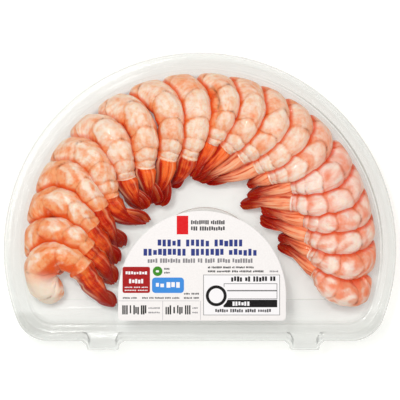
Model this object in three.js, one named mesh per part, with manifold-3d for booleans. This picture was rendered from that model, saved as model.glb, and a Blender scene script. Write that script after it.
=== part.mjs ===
// A half-moon pack of cooked, peeled, tail-on shrimps with a pot of cocktail sauce.
// Millimetres, +Z up. The origin is at the middle of the pack's footprint, on the surface it stands on.
// +X runs along the straight front edge, and +Y points from that edge to the round side.

import * as THREE from 'three';
import { mergeVertices } from 'three/addons/utils/BufferGeometryUtils.js';
import Module from 'manifold-3d';

// ---- Driving dimensions ----

// The pack's outline: a circle cut by a straight front edge, with rounded corners.
const PACK_RADIUS = 150;
const FRONT_DEPTH = 70.6;           // from the circle's centre to the straight edge
const CORNER_RADIUS = 26;
const CORNER_SHRINK = 0.45;         // how fast the corner radius shrinks as an outline moves inwards
const LEAST_CORNER = 9;

// Two pull tabs on the front edge.
const TAB_REACH = 77.4;             // from the circle's centre to the tabs' outer edge
const TABS = [{ x: -74.2, halfWidth: 12.6 }, { x: 79.9, halfWidth: 11.6 }];
const TAB_FLARE = 3.4;
const TAB_CORNER = 2.8;

// Heights above the surface the pack stands on.
const SHEET = 0.8;                  // wall of the formed plastic
const FLANGE_Z = 33;                // top of the tray's flange
const LIP_Z = 29.5;                 // lower edge of the tray's turned-down lip
const SKIRT_Z = 28;                 // lower edge of the lid's skirt
const VALLEY_Z = 34.2;              // top of the lid's flat inner flange
const BEAD_Z = 35.3;                // top of the lid's snap bead
const LID_Z = 45;                   // top of the lid's flat roof

// The label on the roof: an arch on a straight foot.
const LABEL = { x: 1.5, archY: -34.3, footY: -53.9, radius: 63.4, corner: 3.2, thickness: 0.25, gap: 0.1 };

// The sauce pot, which stands on the tray's floor under the label.
const POT = { x: 3.4, y: -10.7, flange: 42.6, mouth: 36.5, base: 29, rimZ: 41.4, wall: 0.8, gap: 0.3 };
const SAUCE_LEVEL = 35;
const SEAL_THICKNESS = 0.3;
const POT_SIDES = 24;               // of the pot and its seal, which stand for round ones
const SAUCE_SIDES = 12;

// How a shrimp is built. Stations run from 0 at its cut head end to 1 where its flesh ends and 2 at its
// tail tip. Half sizes are from back to belly and from side to side.
const SECTIONS = [
  { at: 0, tall: 10.4, wide: 9.2 },
  { at: 0.04, tall: 12.8, wide: 11.2 },
  { at: 0.24, tall: 14.1, wide: 12 },
  { at: 0.5, tall: 13.4, wide: 11.2 },
  { at: 0.72, tall: 12, wide: 9.8 },
  { at: 0.9, tall: 9.8, wide: 8.1 },
  { at: 1, tall: 7.8, wide: 6.4 },
  { at: 1.12, tall: 6.6, wide: 5.2 },
  { at: 1.45, tall: 5.6, wide: 3.6 },
  { at: 1.75, tall: 6.4, wide: 2.4 },
  { at: 2, tall: 2, wide: 0.9 },
];
const POSTURE = [                   // height of the middle line, degrees the back is raised, belly's share
  { at: 0, z: 11, tilt: 58, belly: 0.62 },
  { at: 0.15, z: 15.5, tilt: 56, belly: 0.62 },
  { at: 0.4, z: 25, tilt: 52, belly: 0.78 },
  { at: 0.7, z: 28.3, tilt: 52, belly: 0.88 },
  { at: 1, z: 22.5, tilt: 48, belly: 0.88 },
  { at: 2, z: 0, tilt: 25, belly: 0.9 },
];
const SEGMENTS = 5;                 // of the flesh
const GROOVE_DEPTH = 0.07;          // of the segment grooves, as a share of the radius
const SHRIMP_SIDES = 9;
const CLEARANCE = 0.3;              // kept between neighbours

// How the shrimps lie round the pack's circle, from the front left clockwise, each on the next. Seen from
// above, the flesh ends at a bearing and a distance. From there the body runs out towards the wall,
// leaning clockwise, and turns back more and more. The tail runs in to its tip. A fan is a factor on the
// tail fan's breadth.
const RING = [
  {
    bearing: 196, distance: 88, lean: 77, turn: 260, body: 74, tipAt: 80, tip: 18, tipZ: 17,
    bend: 1.7, fan: 1.3,
  },
  { bearing: 184.5, distance: 83, lean: 50, turn: 165, body: 59, tipAt: 72, tip: 18, tipZ: 13, fan: 1.4 },
  { bearing: 173, distance: 82, lean: 49, turn: 165, body: 60, tipAt: 68, tip: 18, tipZ: 9, fan: 1.5 },
  { bearing: 162, distance: 81, lean: 49, turn: 175, body: 61.5, tipAt: 64, tip: 18, tipZ: 5, fan: 1.6 },
  { bearing: 151.5, distance: 79, lean: 46, turn: 160, body: 61.5, tipAt: 46, tip: 4, tipZ: 14, fan: 1.5 },
  { bearing: 136.5, distance: 79, lean: 35, turn: 146, body: 59.5, tipAt: 53, tip: 9, tipZ: 17, fan: 1.5 },
  { bearing: 124, distance: 76, lean: 34, turn: 143, body: 62.5, tipAt: 51, tip: 13, tipZ: 13, fan: 1.4 },
  { bearing: 110, distance: 74, lean: 30, turn: 143, body: 64.5, tipAt: 51, tip: 27, tipZ: 9, fan: 1.3 },
  { bearing: 97.5, distance: 72, lean: 26, turn: 140, body: 65.5, tipAt: 54, tip: 19, tipZ: 5 },
  { bearing: 84.5, distance: 83, lean: 23, turn: 142, body: 53.5, tipAt: 56, tip: 13, tipZ: 19 },
  { bearing: 76, distance: 80, lean: 31, turn: 160, body: 59, tipAt: 54, tip: 20, tipZ: 15 },
  { bearing: 66.5, distance: 78, lean: 34, turn: 162, body: 60.5, tipAt: 53.5, tip: 26, tipZ: 11 },
  { bearing: 56, distance: 77, lean: 30, turn: 155, body: 61.5, tipAt: 54, tip: 32, tipZ: 7 },
  { bearing: 46.5, distance: 78.5, lean: 31, turn: 156, body: 60.5, tipAt: 61, tip: 7, tipZ: 14 },
  { bearing: 34.5, distance: 87, lean: 28, turn: 140, body: 48.8, tipAt: 55, tip: 14, tipZ: 10 },
  { bearing: 27, distance: 80, lean: 34, turn: 160, body: 59.5, tipAt: 47, tip: 21, tipZ: 6 },
  { bearing: 16, distance: 85, lean: 26, turn: 142, body: 51.2, tipAt: 57, tip: 19, tipZ: 16 },
  { bearing: 8, distance: 84, lean: 27, turn: 145, body: 52.5, tipAt: 53, tip: 20, tipZ: 12 },
  { bearing: -0.5, distance: 87, lean: 32, turn: 140, body: 49.2, tipAt: 62, tip: 10, tipZ: 8 },
  { bearing: -10.5, distance: 92.6, lean: 36, turn: 130, body: 41.2, tipAt: 62, tip: 14, tipZ: 5 },
];
const USUAL_BEND = 2.6;             // how much of the turn is near the head end
const USUAL_FAN = 1;                // how broad the tail fan is, as a factor

// ---- Small helpers ----

const wasm = await Module();
wasm.setup();

/** Linear interpolation of one field of a list of stations. */
function along(stations, at, field) {
  const next = Math.max(1, stations.findIndex((station) => station.at >= at));
  const [low, high] = [stations[next - 1], stations[next]];
  return THREE.MathUtils.mapLinear(at, low.at, high.at, low[field], high[field]);
}

/** A closed solid through rings of equal point count, each end closed by a fan round its middle. */
function loft(rings) {
  const count = rings[0].length;
  const middle = (ring) => ring.reduce((sum, point) => sum.add(point), new THREE.Vector3())
    .divideScalar(ring.length);
  const points = [...rings.flat(), middle(rings[0]), middle(rings[rings.length - 1])];
  const first = points.length - 2;
  const last = points.length - 1;
  const start = (rings.length - 1) * count;
  const faces = [];
  for (let i = 0; i < count; i += 1) {
    const j = (i + 1) % count;
    faces.push(first, j, i, last, start + i, start + j);
    for (let ring = 0; ring < rings.length - 1; ring += 1) {
      const [a, b] = [ring * count + i, ring * count + j];
      faces.push(a, b, b + count, a, b + count, a + count);
    }
  }
  const geometry = new THREE.BufferGeometry();
  geometry.setAttribute('position', new THREE.Float32BufferAttribute(points.flatMap((p) => p.toArray()), 3));
  geometry.setIndex(faces);
  return geometry;
}

/** A three.js geometry as a manifold solid. */
function toManifold(geometry) {
  const bare = geometry.clone();
  bare.deleteAttribute('normal');
  bare.deleteAttribute('uv');
  const merged = mergeVertices(bare, 1e-4);
  return new wasm.Manifold(new wasm.Mesh({
    numProp: 3,
    vertProperties: new Float32Array(merged.attributes.position.array),
    triVerts: new Uint32Array(merged.index.array),
  }));
}

/** A manifold solid as a three.js geometry. */
function toGeometry(solid) {
  const { vertProperties, triVerts } = solid.getMesh();
  const geometry = new THREE.BufferGeometry();
  geometry.setAttribute('position', new THREE.BufferAttribute(vertProperties, 3));
  geometry.setIndex(new THREE.BufferAttribute(triVerts, 1));
  return geometry;
}

/** A named mesh with its own material. */
function piece(name, geometry, look) {
  const mesh = new THREE.Mesh(geometry, new THREE.MeshStandardMaterial(look));
  mesh.name = name;
  return mesh;
}

// ---- Tray and lid ----

const BACK_STEPS = 24;
const FLANK_STEPS = 3;
const CORNER_STEPS = 3;

/** Points on an arc, both ends included. */
function arc(centre, radius, from, to, steps) {
  return Array.from({ length: steps + 1 }, (_, i) => {
    const angle = THREE.MathUtils.lerp(from, to, i / steps);
    return new THREE.Vector2(centre.x + radius * Math.cos(angle), centre.y + radius * Math.sin(angle));
  });
}

/** The front edge across one tab. Outlines that don't follow the tab run straight past it. */
function tabEdge(tab, edgeY, tabInset) {
  const half = tab.halfWidth - (tabInset ?? 0);
  const depth = tabInset === undefined ? 0 : TAB_REACH - tabInset + edgeY;
  const side = [
    { x: half + TAB_FLARE, share: 0 }, { x: half + 0.25 * TAB_FLARE, share: 0.1 },
    { x: half, share: 0.3 }, { x: half - 0.15 * TAB_CORNER, share: 0.85 }, { x: half - TAB_CORNER, share: 1 },
  ];
  const left = side.map(({ x, share }) => new THREE.Vector2(tab.x - x, edgeY - share * depth));
  const right = side.map(({ x, share }) => new THREE.Vector2(tab.x + x, edgeY - share * depth));
  return [...left, ...right.reverse()];
}

/** The pack's outline moved inwards by inset, at height z, from the right corner round by the back. */
function packRing({ inset, z, tabInset }) {
  const radius = PACK_RADIUS - inset;
  const front = FRONT_DEPTH - inset;
  const corner = Math.max(CORNER_RADIUS - CORNER_SHRINK * inset, LEAST_CORNER);
  const cornerY = corner - front;
  const cornerX = Math.sqrt((radius - corner) ** 2 - cornerY ** 2);
  const meet = Math.atan2(cornerY, cornerX);
  const outline = [
    ...arc({ x: cornerX, y: cornerY }, corner, -Math.PI / 2, meet, CORNER_STEPS).slice(0, -1),
    ...arc({ x: 0, y: 0 }, radius, meet, 0, FLANK_STEPS).slice(0, -1),
    ...arc({ x: 0, y: 0 }, radius, 0, Math.PI, BACK_STEPS),
    ...arc({ x: 0, y: 0 }, radius, Math.PI, Math.PI - meet, FLANK_STEPS).slice(1),
    ...arc({ x: -cornerX, y: cornerY }, corner, Math.PI - meet, 1.5 * Math.PI, CORNER_STEPS).slice(1),
    ...TABS.flatMap((tab) => tabEdge(tab, -front, tabInset)),
  ];
  return outline.map((point) => new THREE.Vector3(point.x, point.y, z));
}

/** The tray: a drafted bowl with a flat flange, a turned-down lip and two tabs. */
function trayGeometry() {
  const levels = [
    { inset: 31, z: 0 },
    { inset: 21.2, z: SHEET },
    { inset: 15.3, z: 4.6 },
    { inset: 13.8, z: 14 },
    { inset: 12.8, z: FLANGE_Z - 1.6 },
    { inset: 12.2, z: FLANGE_Z - SHEET },
    { inset: 3, z: FLANGE_Z - SHEET, tabInset: 2.9 },
    { inset: 2.7, z: LIP_Z, tabInset: 2.4 },
    { inset: 1.8, z: LIP_Z, tabInset: 1.6 },
    { inset: 2.1, z: FLANGE_Z - 0.6, tabInset: 1.9 },
    { inset: 3.2, z: FLANGE_Z, tabInset: 2.6 },
    { inset: 13.1, z: FLANGE_Z },
    { inset: 13.7, z: FLANGE_Z - 1.2 },
    { inset: 14.7, z: 14 },
    { inset: 16.2, z: 5.2 },
    { inset: 21.6, z: 2 * SHEET },
    { inset: 31, z: SHEET },
  ];
  return loft(levels.map(packRing));
}

/** The lid: a flat roof on a sloped wall, a valley, a snap bead and a skirt over the tray's lip. */
function lidGeometry() {
  const levels = [
    { inset: 17.5, z: LID_Z - SHEET },
    { inset: 16.4, z: LID_Z - 1.6 },
    { inset: 14.2, z: VALLEY_Z + 0.4 },
    { inset: 13.1, z: VALLEY_Z - SHEET },
    { inset: 7, z: VALLEY_Z - SHEET, tabInset: 2.8 },
    { inset: 5.7, z: BEAD_Z - SHEET, tabInset: 2.1 },
    { inset: 2.4, z: BEAD_Z - SHEET, tabInset: 1.6 },
    { inset: 1.6, z: BEAD_Z - 1.6, tabInset: 1.2 },
    { inset: 0.9, z: SKIRT_Z, tabInset: 0.8 },
    { inset: 0, z: SKIRT_Z, tabInset: 0 },
    { inset: 0.7, z: BEAD_Z - 0.8, tabInset: 0.4 },
    { inset: 1.7, z: BEAD_Z, tabInset: 1.1 },
    { inset: 6.1, z: BEAD_Z, tabInset: 2.6 },
    { inset: 7.4, z: VALLEY_Z, tabInset: 3.4 },
    { inset: 12.5, z: VALLEY_Z },
    { inset: 13.6, z: VALLEY_Z + 1 },
    { inset: 15.7, z: LID_Z - 0.9 },
    { inset: 17.2, z: LID_Z },
  ];
  return loft(levels.map(packRing));
}

// ---- Label, pot, seal and sauce ----

/** The label: a thin arch with rounded lower corners. */
function labelGeometry() {
  const { radius, corner, archY, footY } = LABEL;
  const outline = [
    ...arc({ x: 0, y: archY }, radius, 0, Math.PI, 24),
    ...arc({ x: corner - radius, y: footY + corner }, corner, Math.PI, 1.5 * Math.PI, 3),
    ...arc({ x: radius - corner, y: footY + corner }, corner, -Math.PI / 2, 0, 3),
  ];
  const depth = LABEL.thickness;
  return new THREE.ExtrudeGeometry(new THREE.Shape(outline), { depth, bevelEnabled: false });
}

/** A solid of revolution about +Z from a profile of [radius, z] pairs that starts and ends on the axis. */
function turned(profile, segments) {
  const geometry = new THREE.LatheGeometry(profile.map(([r, z]) => new THREE.Vector2(r, z)), segments);
  return geometry.rotateX(Math.PI / 2);
}

/** The pot's inside radius at height z. */
function potRadius(z) {
  return THREE.MathUtils.mapLinear(z, potFloor() + POT.wall, POT.rimZ, POT.base - POT.wall, POT.mouth);
}

/** Height of the pot's underside, just clear of the tray's floor. */
function potFloor() {
  return SHEET + POT.gap;
}

function potGeometry() {
  const floor = potFloor();
  return turned([
    [0, floor], [POT.base, floor], [POT.mouth + POT.wall, POT.rimZ - 2 * POT.wall],
    [POT.flange - 0.6, POT.rimZ - 2 * POT.wall], [POT.flange - 0.6, POT.rimZ - 3 * POT.wall],
    [POT.flange, POT.rimZ - 3 * POT.wall], [POT.flange, POT.rimZ - 0.2 * POT.wall],
    [POT.flange - 0.4, POT.rimZ], [POT.mouth + 0.4, POT.rimZ], [potRadius(POT.rimZ - 1), POT.rimZ - 1],
    [POT.base - POT.wall, floor + POT.wall], [0, floor + POT.wall],
  ], POT_SIDES);
}

function sealGeometry() {
  const under = POT.rimZ + 0.1;
  const radius = POT.flange - 0.4;
  const over = under + SEAL_THICKNESS;
  return turned([[0, under], [radius, under], [radius, over], [0, over]], POT_SIDES);
}

function sauceGeometry() {
  const under = potFloor() + POT.wall + POT.gap;
  return turned([
    [0, under], [potRadius(under) - POT.gap - 0.3, under],
    [potRadius(SAUCE_LEVEL) - POT.gap, SAUCE_LEVEL], [0, SAUCE_LEVEL],
  ], SAUCE_SIDES);
}

// ---- Shrimps ----

const BODY_SPANS = 8;
const TAIL_SPANS = 3;

/** A point on the pack's circle at a bearing in degrees. */
function polar(distance, bearing) {
  const angle = THREE.MathUtils.degToRad(bearing);
  return new THREE.Vector3(distance * Math.cos(angle), distance * Math.sin(angle), 0);
}

/** The middle line of one shrimp, from its cut head end to its tail tip. */
function shrimpLine({ bearing, distance, lean, turn, body, tipAt, tip, tipZ, bend = USUAL_BEND }) {
  const fleshEnd = polar(distance, bearing);
  const points = [fleshEnd.clone()];
  const strides = 10;
  for (let span = 0; span < BODY_SPANS; span += 1) {
    const next = points[0].clone();
    for (let stride = 0; stride < strides; stride += 1) {
      const share = (span + (stride + 0.5) / strides) / BODY_SPANS;
      next.add(polar(body / BODY_SPANS / strides, bearing - lean + turn * share ** bend));
    }
    points.unshift(next);
  }
  points.forEach((point, i) => { point.z = along(POSTURE, i / BODY_SPANS, 'z'); });
  fleshEnd.z = along(POSTURE, 1, 'z');
  const tailTip = polar(tipAt, bearing + tip).setZ(tipZ);
  const elbow = fleshEnd.clone().sub(polar(0.5 * fleshEnd.distanceTo(tailTip), bearing - lean));
  elbow.z = 0.6 * fleshEnd.z + 0.4 * tipZ;
  const tail = new THREE.QuadraticBezierCurve3(fleshEnd, elbow, tailTip);
  return new THREE.CatmullRomCurve3([...points, ...tail.getPoints(TAIL_SPANS).slice(1)]);
}

/** The share of a middle line's length at a station from 0 to 2. */
function shareAt(line, at) {
  const steps = 10 * (BODY_SPANS + TAIL_SPANS);
  const lengths = line.getLengths(steps);
  const flesh = lengths[10 * BODY_SPANS] / lengths[steps];
  return at < 1 ? at * flesh : flesh + (at - 1) * (1 - flesh);
}

/** Stations of the sections: the cut end's cap, each groove and segment, then the tail. */
function shrimpStations() {
  const halves = Array.from({ length: 2 * SEGMENTS }, (_, i) => (i + 1) / (2 * SEGMENTS));
  return [0, 0.04, ...halves, 1.12, 1.45, 1.75, 2];
}

/** One section of a shrimp: taller than wide, flatter on the belly, waisted at the segment grooves. */
function shrimpSection(line, fan, at, grow) {
  const share = shareAt(line, at);
  const forward = line.getTangentAt(share);
  const outward = Number(at === 2) - Number(at === 0);
  const centre = line.getPointAt(share).addScaledVector(forward, grow * outward);
  const raised = THREE.MathUtils.degToRad(along(POSTURE, at, 'tilt'));
  const back = new THREE.Vector3(-forward.y, forward.x, 0).normalize().multiplyScalar(Math.cos(raised));
  back.z = Math.sin(raised);
  back.addScaledVector(forward, -back.dot(forward)).normalize();
  const side = new THREE.Vector3().crossVectors(forward, back);
  const isGroove = at > 0.1 && at < 0.95 && Number.isInteger(Math.round(at * 2 * SEGMENTS) / 2);
  const waist = isGroove ? 1 - GROOVE_DEPTH : 1;
  const breadth = THREE.MathUtils.mapLinear(Math.max(1, at), 1, 2, 1, fan);
  const tall = along(SECTIONS, at, 'tall') * waist * breadth + grow;
  const wide = along(SECTIONS, at, 'wide') * waist + grow;
  const belly = along(POSTURE, at, 'belly');
  return Array.from({ length: SHRIMP_SIDES }, (_, i) => {
    const angle = 2 * Math.PI * (i + 0.5) / SHRIMP_SIDES;
    const height = tall * Math.cos(angle) * (Math.cos(angle) < 0 ? belly : 1);
    return centre.clone().addScaledVector(back, height).addScaledVector(side, wide * Math.sin(angle));
  });
}

/** One shrimp on its middle line, with its tail fan's breadth, grown all round by a clearance. */
function shrimpSolid({ line, fan }, grow) {
  return toManifold(loft(shrimpStations().map((at) => shrimpSection(line, fan, at, grow))));
}

/** The largest of the loose parts of a solid. */
function largest(solid) {
  return solid.decompose().reduce((best, part) => (part.volume() > best.volume() ? part : best));
}

/** The room inside the shut pack, just clear of its walls. */
function roomGeometry() {
  const levels = [
    { inset: 22.2, z: 2 },
    { inset: 16.8, z: 5.4 },
    { inset: 15.2, z: 14 },
    { inset: 14.2, z: 31.8 },
    { inset: 14.8, z: 34.6 },
    { inset: 17, z: 43.2 },
  ];
  return loft(levels.map(packRing));
}

/** All shrimps. Each one lies on the next clockwise and dents it, so that the two keep a thin gap. */
function shrimpGeometries() {
  const room = toManifold(roomGeometry());
  const shrimps = RING.map((place) => ({ line: shrimpLine(place), fan: place.fan ?? USUAL_FAN }));
  const grown = shrimps.map((shrimp) => shrimpSolid(shrimp, CLEARANCE));
  return shrimps.map((shrimp, i) => {
    const upper = grown.slice(Math.max(0, i - 4), i);
    const dented = upper.reduce((solid, neighbour) => solid.subtract(neighbour), shrimpSolid(shrimp, 0));
    return toGeometry(largest(dented.intersect(room)));
  });
}

// ---- The pack ----

const CLEAR_PLASTIC = { color: 0xf2f5f2, roughness: 0.08, metalness: 0, transparent: true, opacity: 0.3 };
const FROSTED_PLASTIC = { color: 0xf0eee8, roughness: 0.35, metalness: 0 };
const PAPER = { color: 0xf4efee, roughness: 0.45, metalness: 0 };
const SAUCE = { color: 0x9e1c0e, roughness: 0.25, metalness: 0 };
const COOKED_SHRIMP = { color: 0xf2b48c, roughness: 0.32, metalness: 0 };

const pack = new THREE.Group();
pack.add(piece('tray', trayGeometry(), CLEAR_PLASTIC), piece('lid', lidGeometry(), CLEAR_PLASTIC));

const label = piece('label', labelGeometry(), PAPER);
label.position.set(LABEL.x, 0, LID_Z + LABEL.gap);
pack.add(label);

const pot = new THREE.Group();
pot.add(
  piece('sauce_pot', potGeometry(), FROSTED_PLASTIC),
  piece('sauce', sauceGeometry(), SAUCE),
  piece('sauce_seal', sealGeometry(), CLEAR_PLASTIC),
);
pot.position.set(POT.x, POT.y, 0);
pack.add(pot);

shrimpGeometries().forEach((geometry, i) => {
  pack.add(piece(`shrimp_${String(i + 1).padStart(2, '0')}`, geometry, COOKED_SHRIMP));
});

// The circle's centre lies behind the footprint's middle, so the pack moves towards the front.
pack.position.y = (TAB_REACH - PACK_RADIUS) / 2;

const product = new THREE.Group();
product.add(pack);

export default product;
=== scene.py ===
"""Looks of a shut half-moon pack of cooked, peeled, tail-on shrimps with a pot of cocktail sauce.

All sizes in the classes are millimetres in the pack's own circle: the origin is the centre of its round
side, at the height of the surface it stands on. +X runs along the straight front edge and +Y points to
the round side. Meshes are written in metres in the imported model's frame.
"""

from __future__ import annotations

import logging
import math
import random
from dataclasses import astuple, dataclass, field
from enum import Enum
from typing import Any, ClassVar, Iterable, Sequence

import bpy
import numpy as np
from mathutils.kdtree import KDTree
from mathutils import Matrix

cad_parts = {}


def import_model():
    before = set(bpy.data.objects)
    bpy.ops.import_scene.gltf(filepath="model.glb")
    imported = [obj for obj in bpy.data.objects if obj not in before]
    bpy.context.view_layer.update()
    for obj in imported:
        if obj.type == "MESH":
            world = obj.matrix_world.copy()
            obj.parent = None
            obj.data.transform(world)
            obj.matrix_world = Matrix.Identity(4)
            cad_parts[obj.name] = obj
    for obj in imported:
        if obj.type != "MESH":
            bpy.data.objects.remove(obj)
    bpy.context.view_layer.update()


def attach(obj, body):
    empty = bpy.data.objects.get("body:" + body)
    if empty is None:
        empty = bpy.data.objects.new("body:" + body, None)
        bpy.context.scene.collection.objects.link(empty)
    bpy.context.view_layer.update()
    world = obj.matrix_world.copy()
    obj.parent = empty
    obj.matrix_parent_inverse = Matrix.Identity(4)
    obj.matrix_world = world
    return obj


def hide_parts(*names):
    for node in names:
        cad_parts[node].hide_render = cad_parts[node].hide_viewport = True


LOG = logging.getLogger("shrimp_pack")
MM = 0.001
CENTRE_Y = -36.3
"""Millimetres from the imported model's origin to the centre of the pack's circle."""
COLOUR_MIX = {"out": 2, "data_type": "RGBA"}
"""Makes a Mix node blend colours: its input 0 is the share, and 6 and 7 are the two colours."""


# ---- Small helpers ----


def linear(code: str) -> tuple[float, float, float, float]:
    """Turns a hex code into the linear colour that shaders take, by the sRGB standard's curve.

    Args:
        code: six hex digits.

    Returns:
        Linear red, green and blue, and full alpha.
    """
    channels = [int(code[i : i + 2], 16) / 255 for i in (0, 2, 4)]
    red, green, blue = (c / 12.92 if c <= 0.04045 else ((c + 0.055) / 1.055) ** 2.4 for c in channels)
    return red, green, blue, 1.0


def smooth_step(value: np.ndarray, low: float, high: float) -> np.ndarray:
    """Eases from 0 at low to 1 at high."""
    share = np.clip((value - low) / (high - low), 0, 1)
    return share * share * (3 - 2 * share)


def hump(value: np.ndarray, middle: float, width: float) -> np.ndarray:
    """A bell curve: 1 at the middle and almost 0 beyond two widths."""
    return np.exp(-(((value - middle) / width) ** 2))


def curve_through(at: np.ndarray, stations: Sequence[float], values: Sequence[float]) -> np.ndarray:
    """Reads a smooth curve that passes through a value at each station.

    Args:
        at: where to read it.
        stations: rising station numbers.
        values: the curve's value at each.

    Returns:
        The curve's values.
    """
    xs, ys = np.asarray(stations, float), np.asarray(values, float)
    slopes = np.gradient(ys, xs)
    i = np.clip(np.searchsorted(xs, at, side="right") - 1, 0, len(xs) - 2)
    gap = xs[i + 1] - xs[i]
    t = np.clip((at - xs[i]) / gap, 0, 1)
    return (
        (2 * t**3 - 3 * t**2 + 1) * ys[i]
        + (t**3 - 2 * t**2 + t) * gap * slopes[i]
        + (3 * t**2 - 2 * t**3) * ys[i + 1]
        + (t**3 - t**2) * gap * slopes[i + 1]
    )


def unit(vectors: np.ndarray) -> np.ndarray:
    """Scales each row to length one."""
    return vectors / np.maximum(np.linalg.norm(vectors, axis=-1, keepdims=True), 1e-9)


def polar(distance: float, bearing: float) -> np.ndarray:
    """A point on the pack's circle, for a bearing in degrees."""
    angle = math.radians(bearing)
    return np.array([distance * math.cos(angle), distance * math.sin(angle), 0.0])


def skin(rings: int, around: int, closed: bool = False) -> list[tuple[int, ...]]:
    """Faces of a skin through rings of points, each ring closed on itself.

    Args:
        rings: how many rings.
        around: how many points in each.
        closed: whether the last ring joins the first.

    Returns:
        The faces, facing out where the rings turn counter-clockwise seen from the last one.
    """
    faces = []
    for ring in range(rings if closed else rings - 1):
        low, high = ring * around, (ring + 1) % rings * around
        faces += [(low + i, low + (i + 1) % around, high + (i + 1) % around, high + i) for i in range(around)]
    return faces


def capped(rings: int, around: int) -> list[tuple[int, ...]]:
    """Faces of a skin through rings of points, with a flat face at each end."""
    last = (rings - 1) * around
    return skin(rings, around) + [tuple(range(around))[::-1], tuple(range(last, last + around))]


@dataclass
class Surface:
    """Points, faces and per-point values of one piece while it is being made."""

    points: list[np.ndarray] = field(default_factory=list)
    faces: list[tuple[int, ...]] = field(default_factory=list)
    looks: list[int] = field(default_factory=list)
    values: dict[str, list[np.ndarray]] = field(default_factory=dict)
    count: int = 0

    def add(
        self, points: np.ndarray, faces: Iterable[tuple[int, ...]], look: int = 0, **values: np.ndarray
    ) -> None:
        """Adds a patch of surface.

        Args:
            points: its points, one row each.
            faces: its faces, counted from its own first point.
            look: index of its material.
            **values: named values, one for each point.
        """
        patch = [tuple(i + self.count for i in face) for face in faces]
        self.points.append(points)
        self.faces += patch
        self.looks += [look] * len(patch)
        for name, value in values.items():
            self.values.setdefault(name, []).append(value)
        self.count += len(points)

    def piece(
        self, name: str, materials: Sequence[bpy.types.Material], slot: str, node: str | None,
        smooth: bool = True,
    ) -> None:
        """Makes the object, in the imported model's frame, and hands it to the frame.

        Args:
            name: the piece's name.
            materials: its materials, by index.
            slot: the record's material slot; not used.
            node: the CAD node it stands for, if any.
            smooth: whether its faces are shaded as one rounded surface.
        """
        co = (np.concatenate(self.points) + np.array([0, CENTRE_Y, 0])) * MM
        mesh = bpy.data.meshes.new(name)
        mesh.from_pydata(co.tolist(), [], self.faces)
        for material in materials:
            mesh.materials.append(material)
        mesh.polygons.foreach_set("material_index", self.looks)
        mesh.polygons.foreach_set("use_smooth", [smooth] * len(self.faces))
        for key, parts in self.values.items():
            data = np.concatenate(parts)
            kind, member = ("FLOAT_VECTOR", "vector") if data.ndim > 1 else ("FLOAT", "value")
            attribute = mesh.attributes.new(key, kind, "POINT")
            attribute.data.foreach_set(member, data.astype(np.float32).ravel())
        mesh.validate()
        obj = bpy.data.objects.new(name, mesh)
        bpy.context.scene.collection.objects.link(obj)
        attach(obj, "root")
        if node:
            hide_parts(node)
        LOG.info("%s: %d points", name, len(co))


# ---- Finishes ----


class Finish(Enum):
    """Every finish of the pack, named for the real material."""

    LID_PET = "thermoformed_clear_pet_lid"
    TRAY_PET = "thermoformed_clear_pet_tray"
    FLESH = "boiled_peeled_shrimp_flesh"
    SHELL = "boiled_shrimp_tail_shell"
    PAPER = "calendered_coated_label_paper"
    POT = "injection_moulded_milky_polypropylene"
    SAUCE = "cooked_tomato_horseradish_sauce"
    SEAL = "heat_sealed_lidding_film"
    TABLE = "opal_acrylic_light_table"


class Ink(Enum):
    """Offset printing inks on the label, by their printed colour."""

    BLUE = "2C3A80"
    RED = "DE1018"
    DEEP_RED = "A61010"
    GREEN = "3C8A1E"
    SKY = "3E8CDA"
    GREY = "868386"
    DARK_GREY = "413F41"
    BLACK = "0A0808"
    WHITE = "F4F1F1"
    HAIRLINE = "B9B4B6"


class Recipe:
    """A material while its shader nodes are being laid out, from its patterns to its finish."""

    def __init__(self, name: str) -> None:
        """Starts a material that has no nodes yet."""
        self.material = bpy.data.materials.new(name)
        self.material.use_nodes = True
        self.tree = self.material.node_tree
        self.tree.nodes.clear()

    def add(
        self, kind: str, inputs: dict[Any, Any] | Sequence[Any] = (), out: int | str = 0, **settings: Any
    ) -> bpy.types.NodeSocket:
        """Adds a shader node with its settings, its values and its links.

        Args:
            kind: Blender's name for the node, after ShaderNode.
            inputs: a value, or an output socket to link, for each input, by name or in the node's own order.
                A Map Range node's order is the value, the two ends it runs between and the two it maps to.
            out: which output is wanted.
            **settings: properties of the node itself.

        Returns:
            That output.
        """
        node = self.tree.nodes.new(f"ShaderNode{kind}")
        for name, value in settings.items():
            setattr(node, name, value)
        for socket, value in inputs.items() if isinstance(inputs, dict) else enumerate(inputs):
            if isinstance(value, bpy.types.NodeSocket):
                self.tree.links.new(value, node.inputs[socket])
            else:
                node.inputs[socket].default_value = value
        return node.outputs[out]

    def shaded(self, inputs: dict[str, Any]) -> bpy.types.Material:
        """Adds the principled shader with these inputs, and returns the finished material."""
        shader = self.add("BsdfPrincipled", inputs)
        target = self.tree.nodes.new("ShaderNodeOutputMaterial")
        self.tree.links.new(shader, target.inputs["Surface"])
        return self.material


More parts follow.
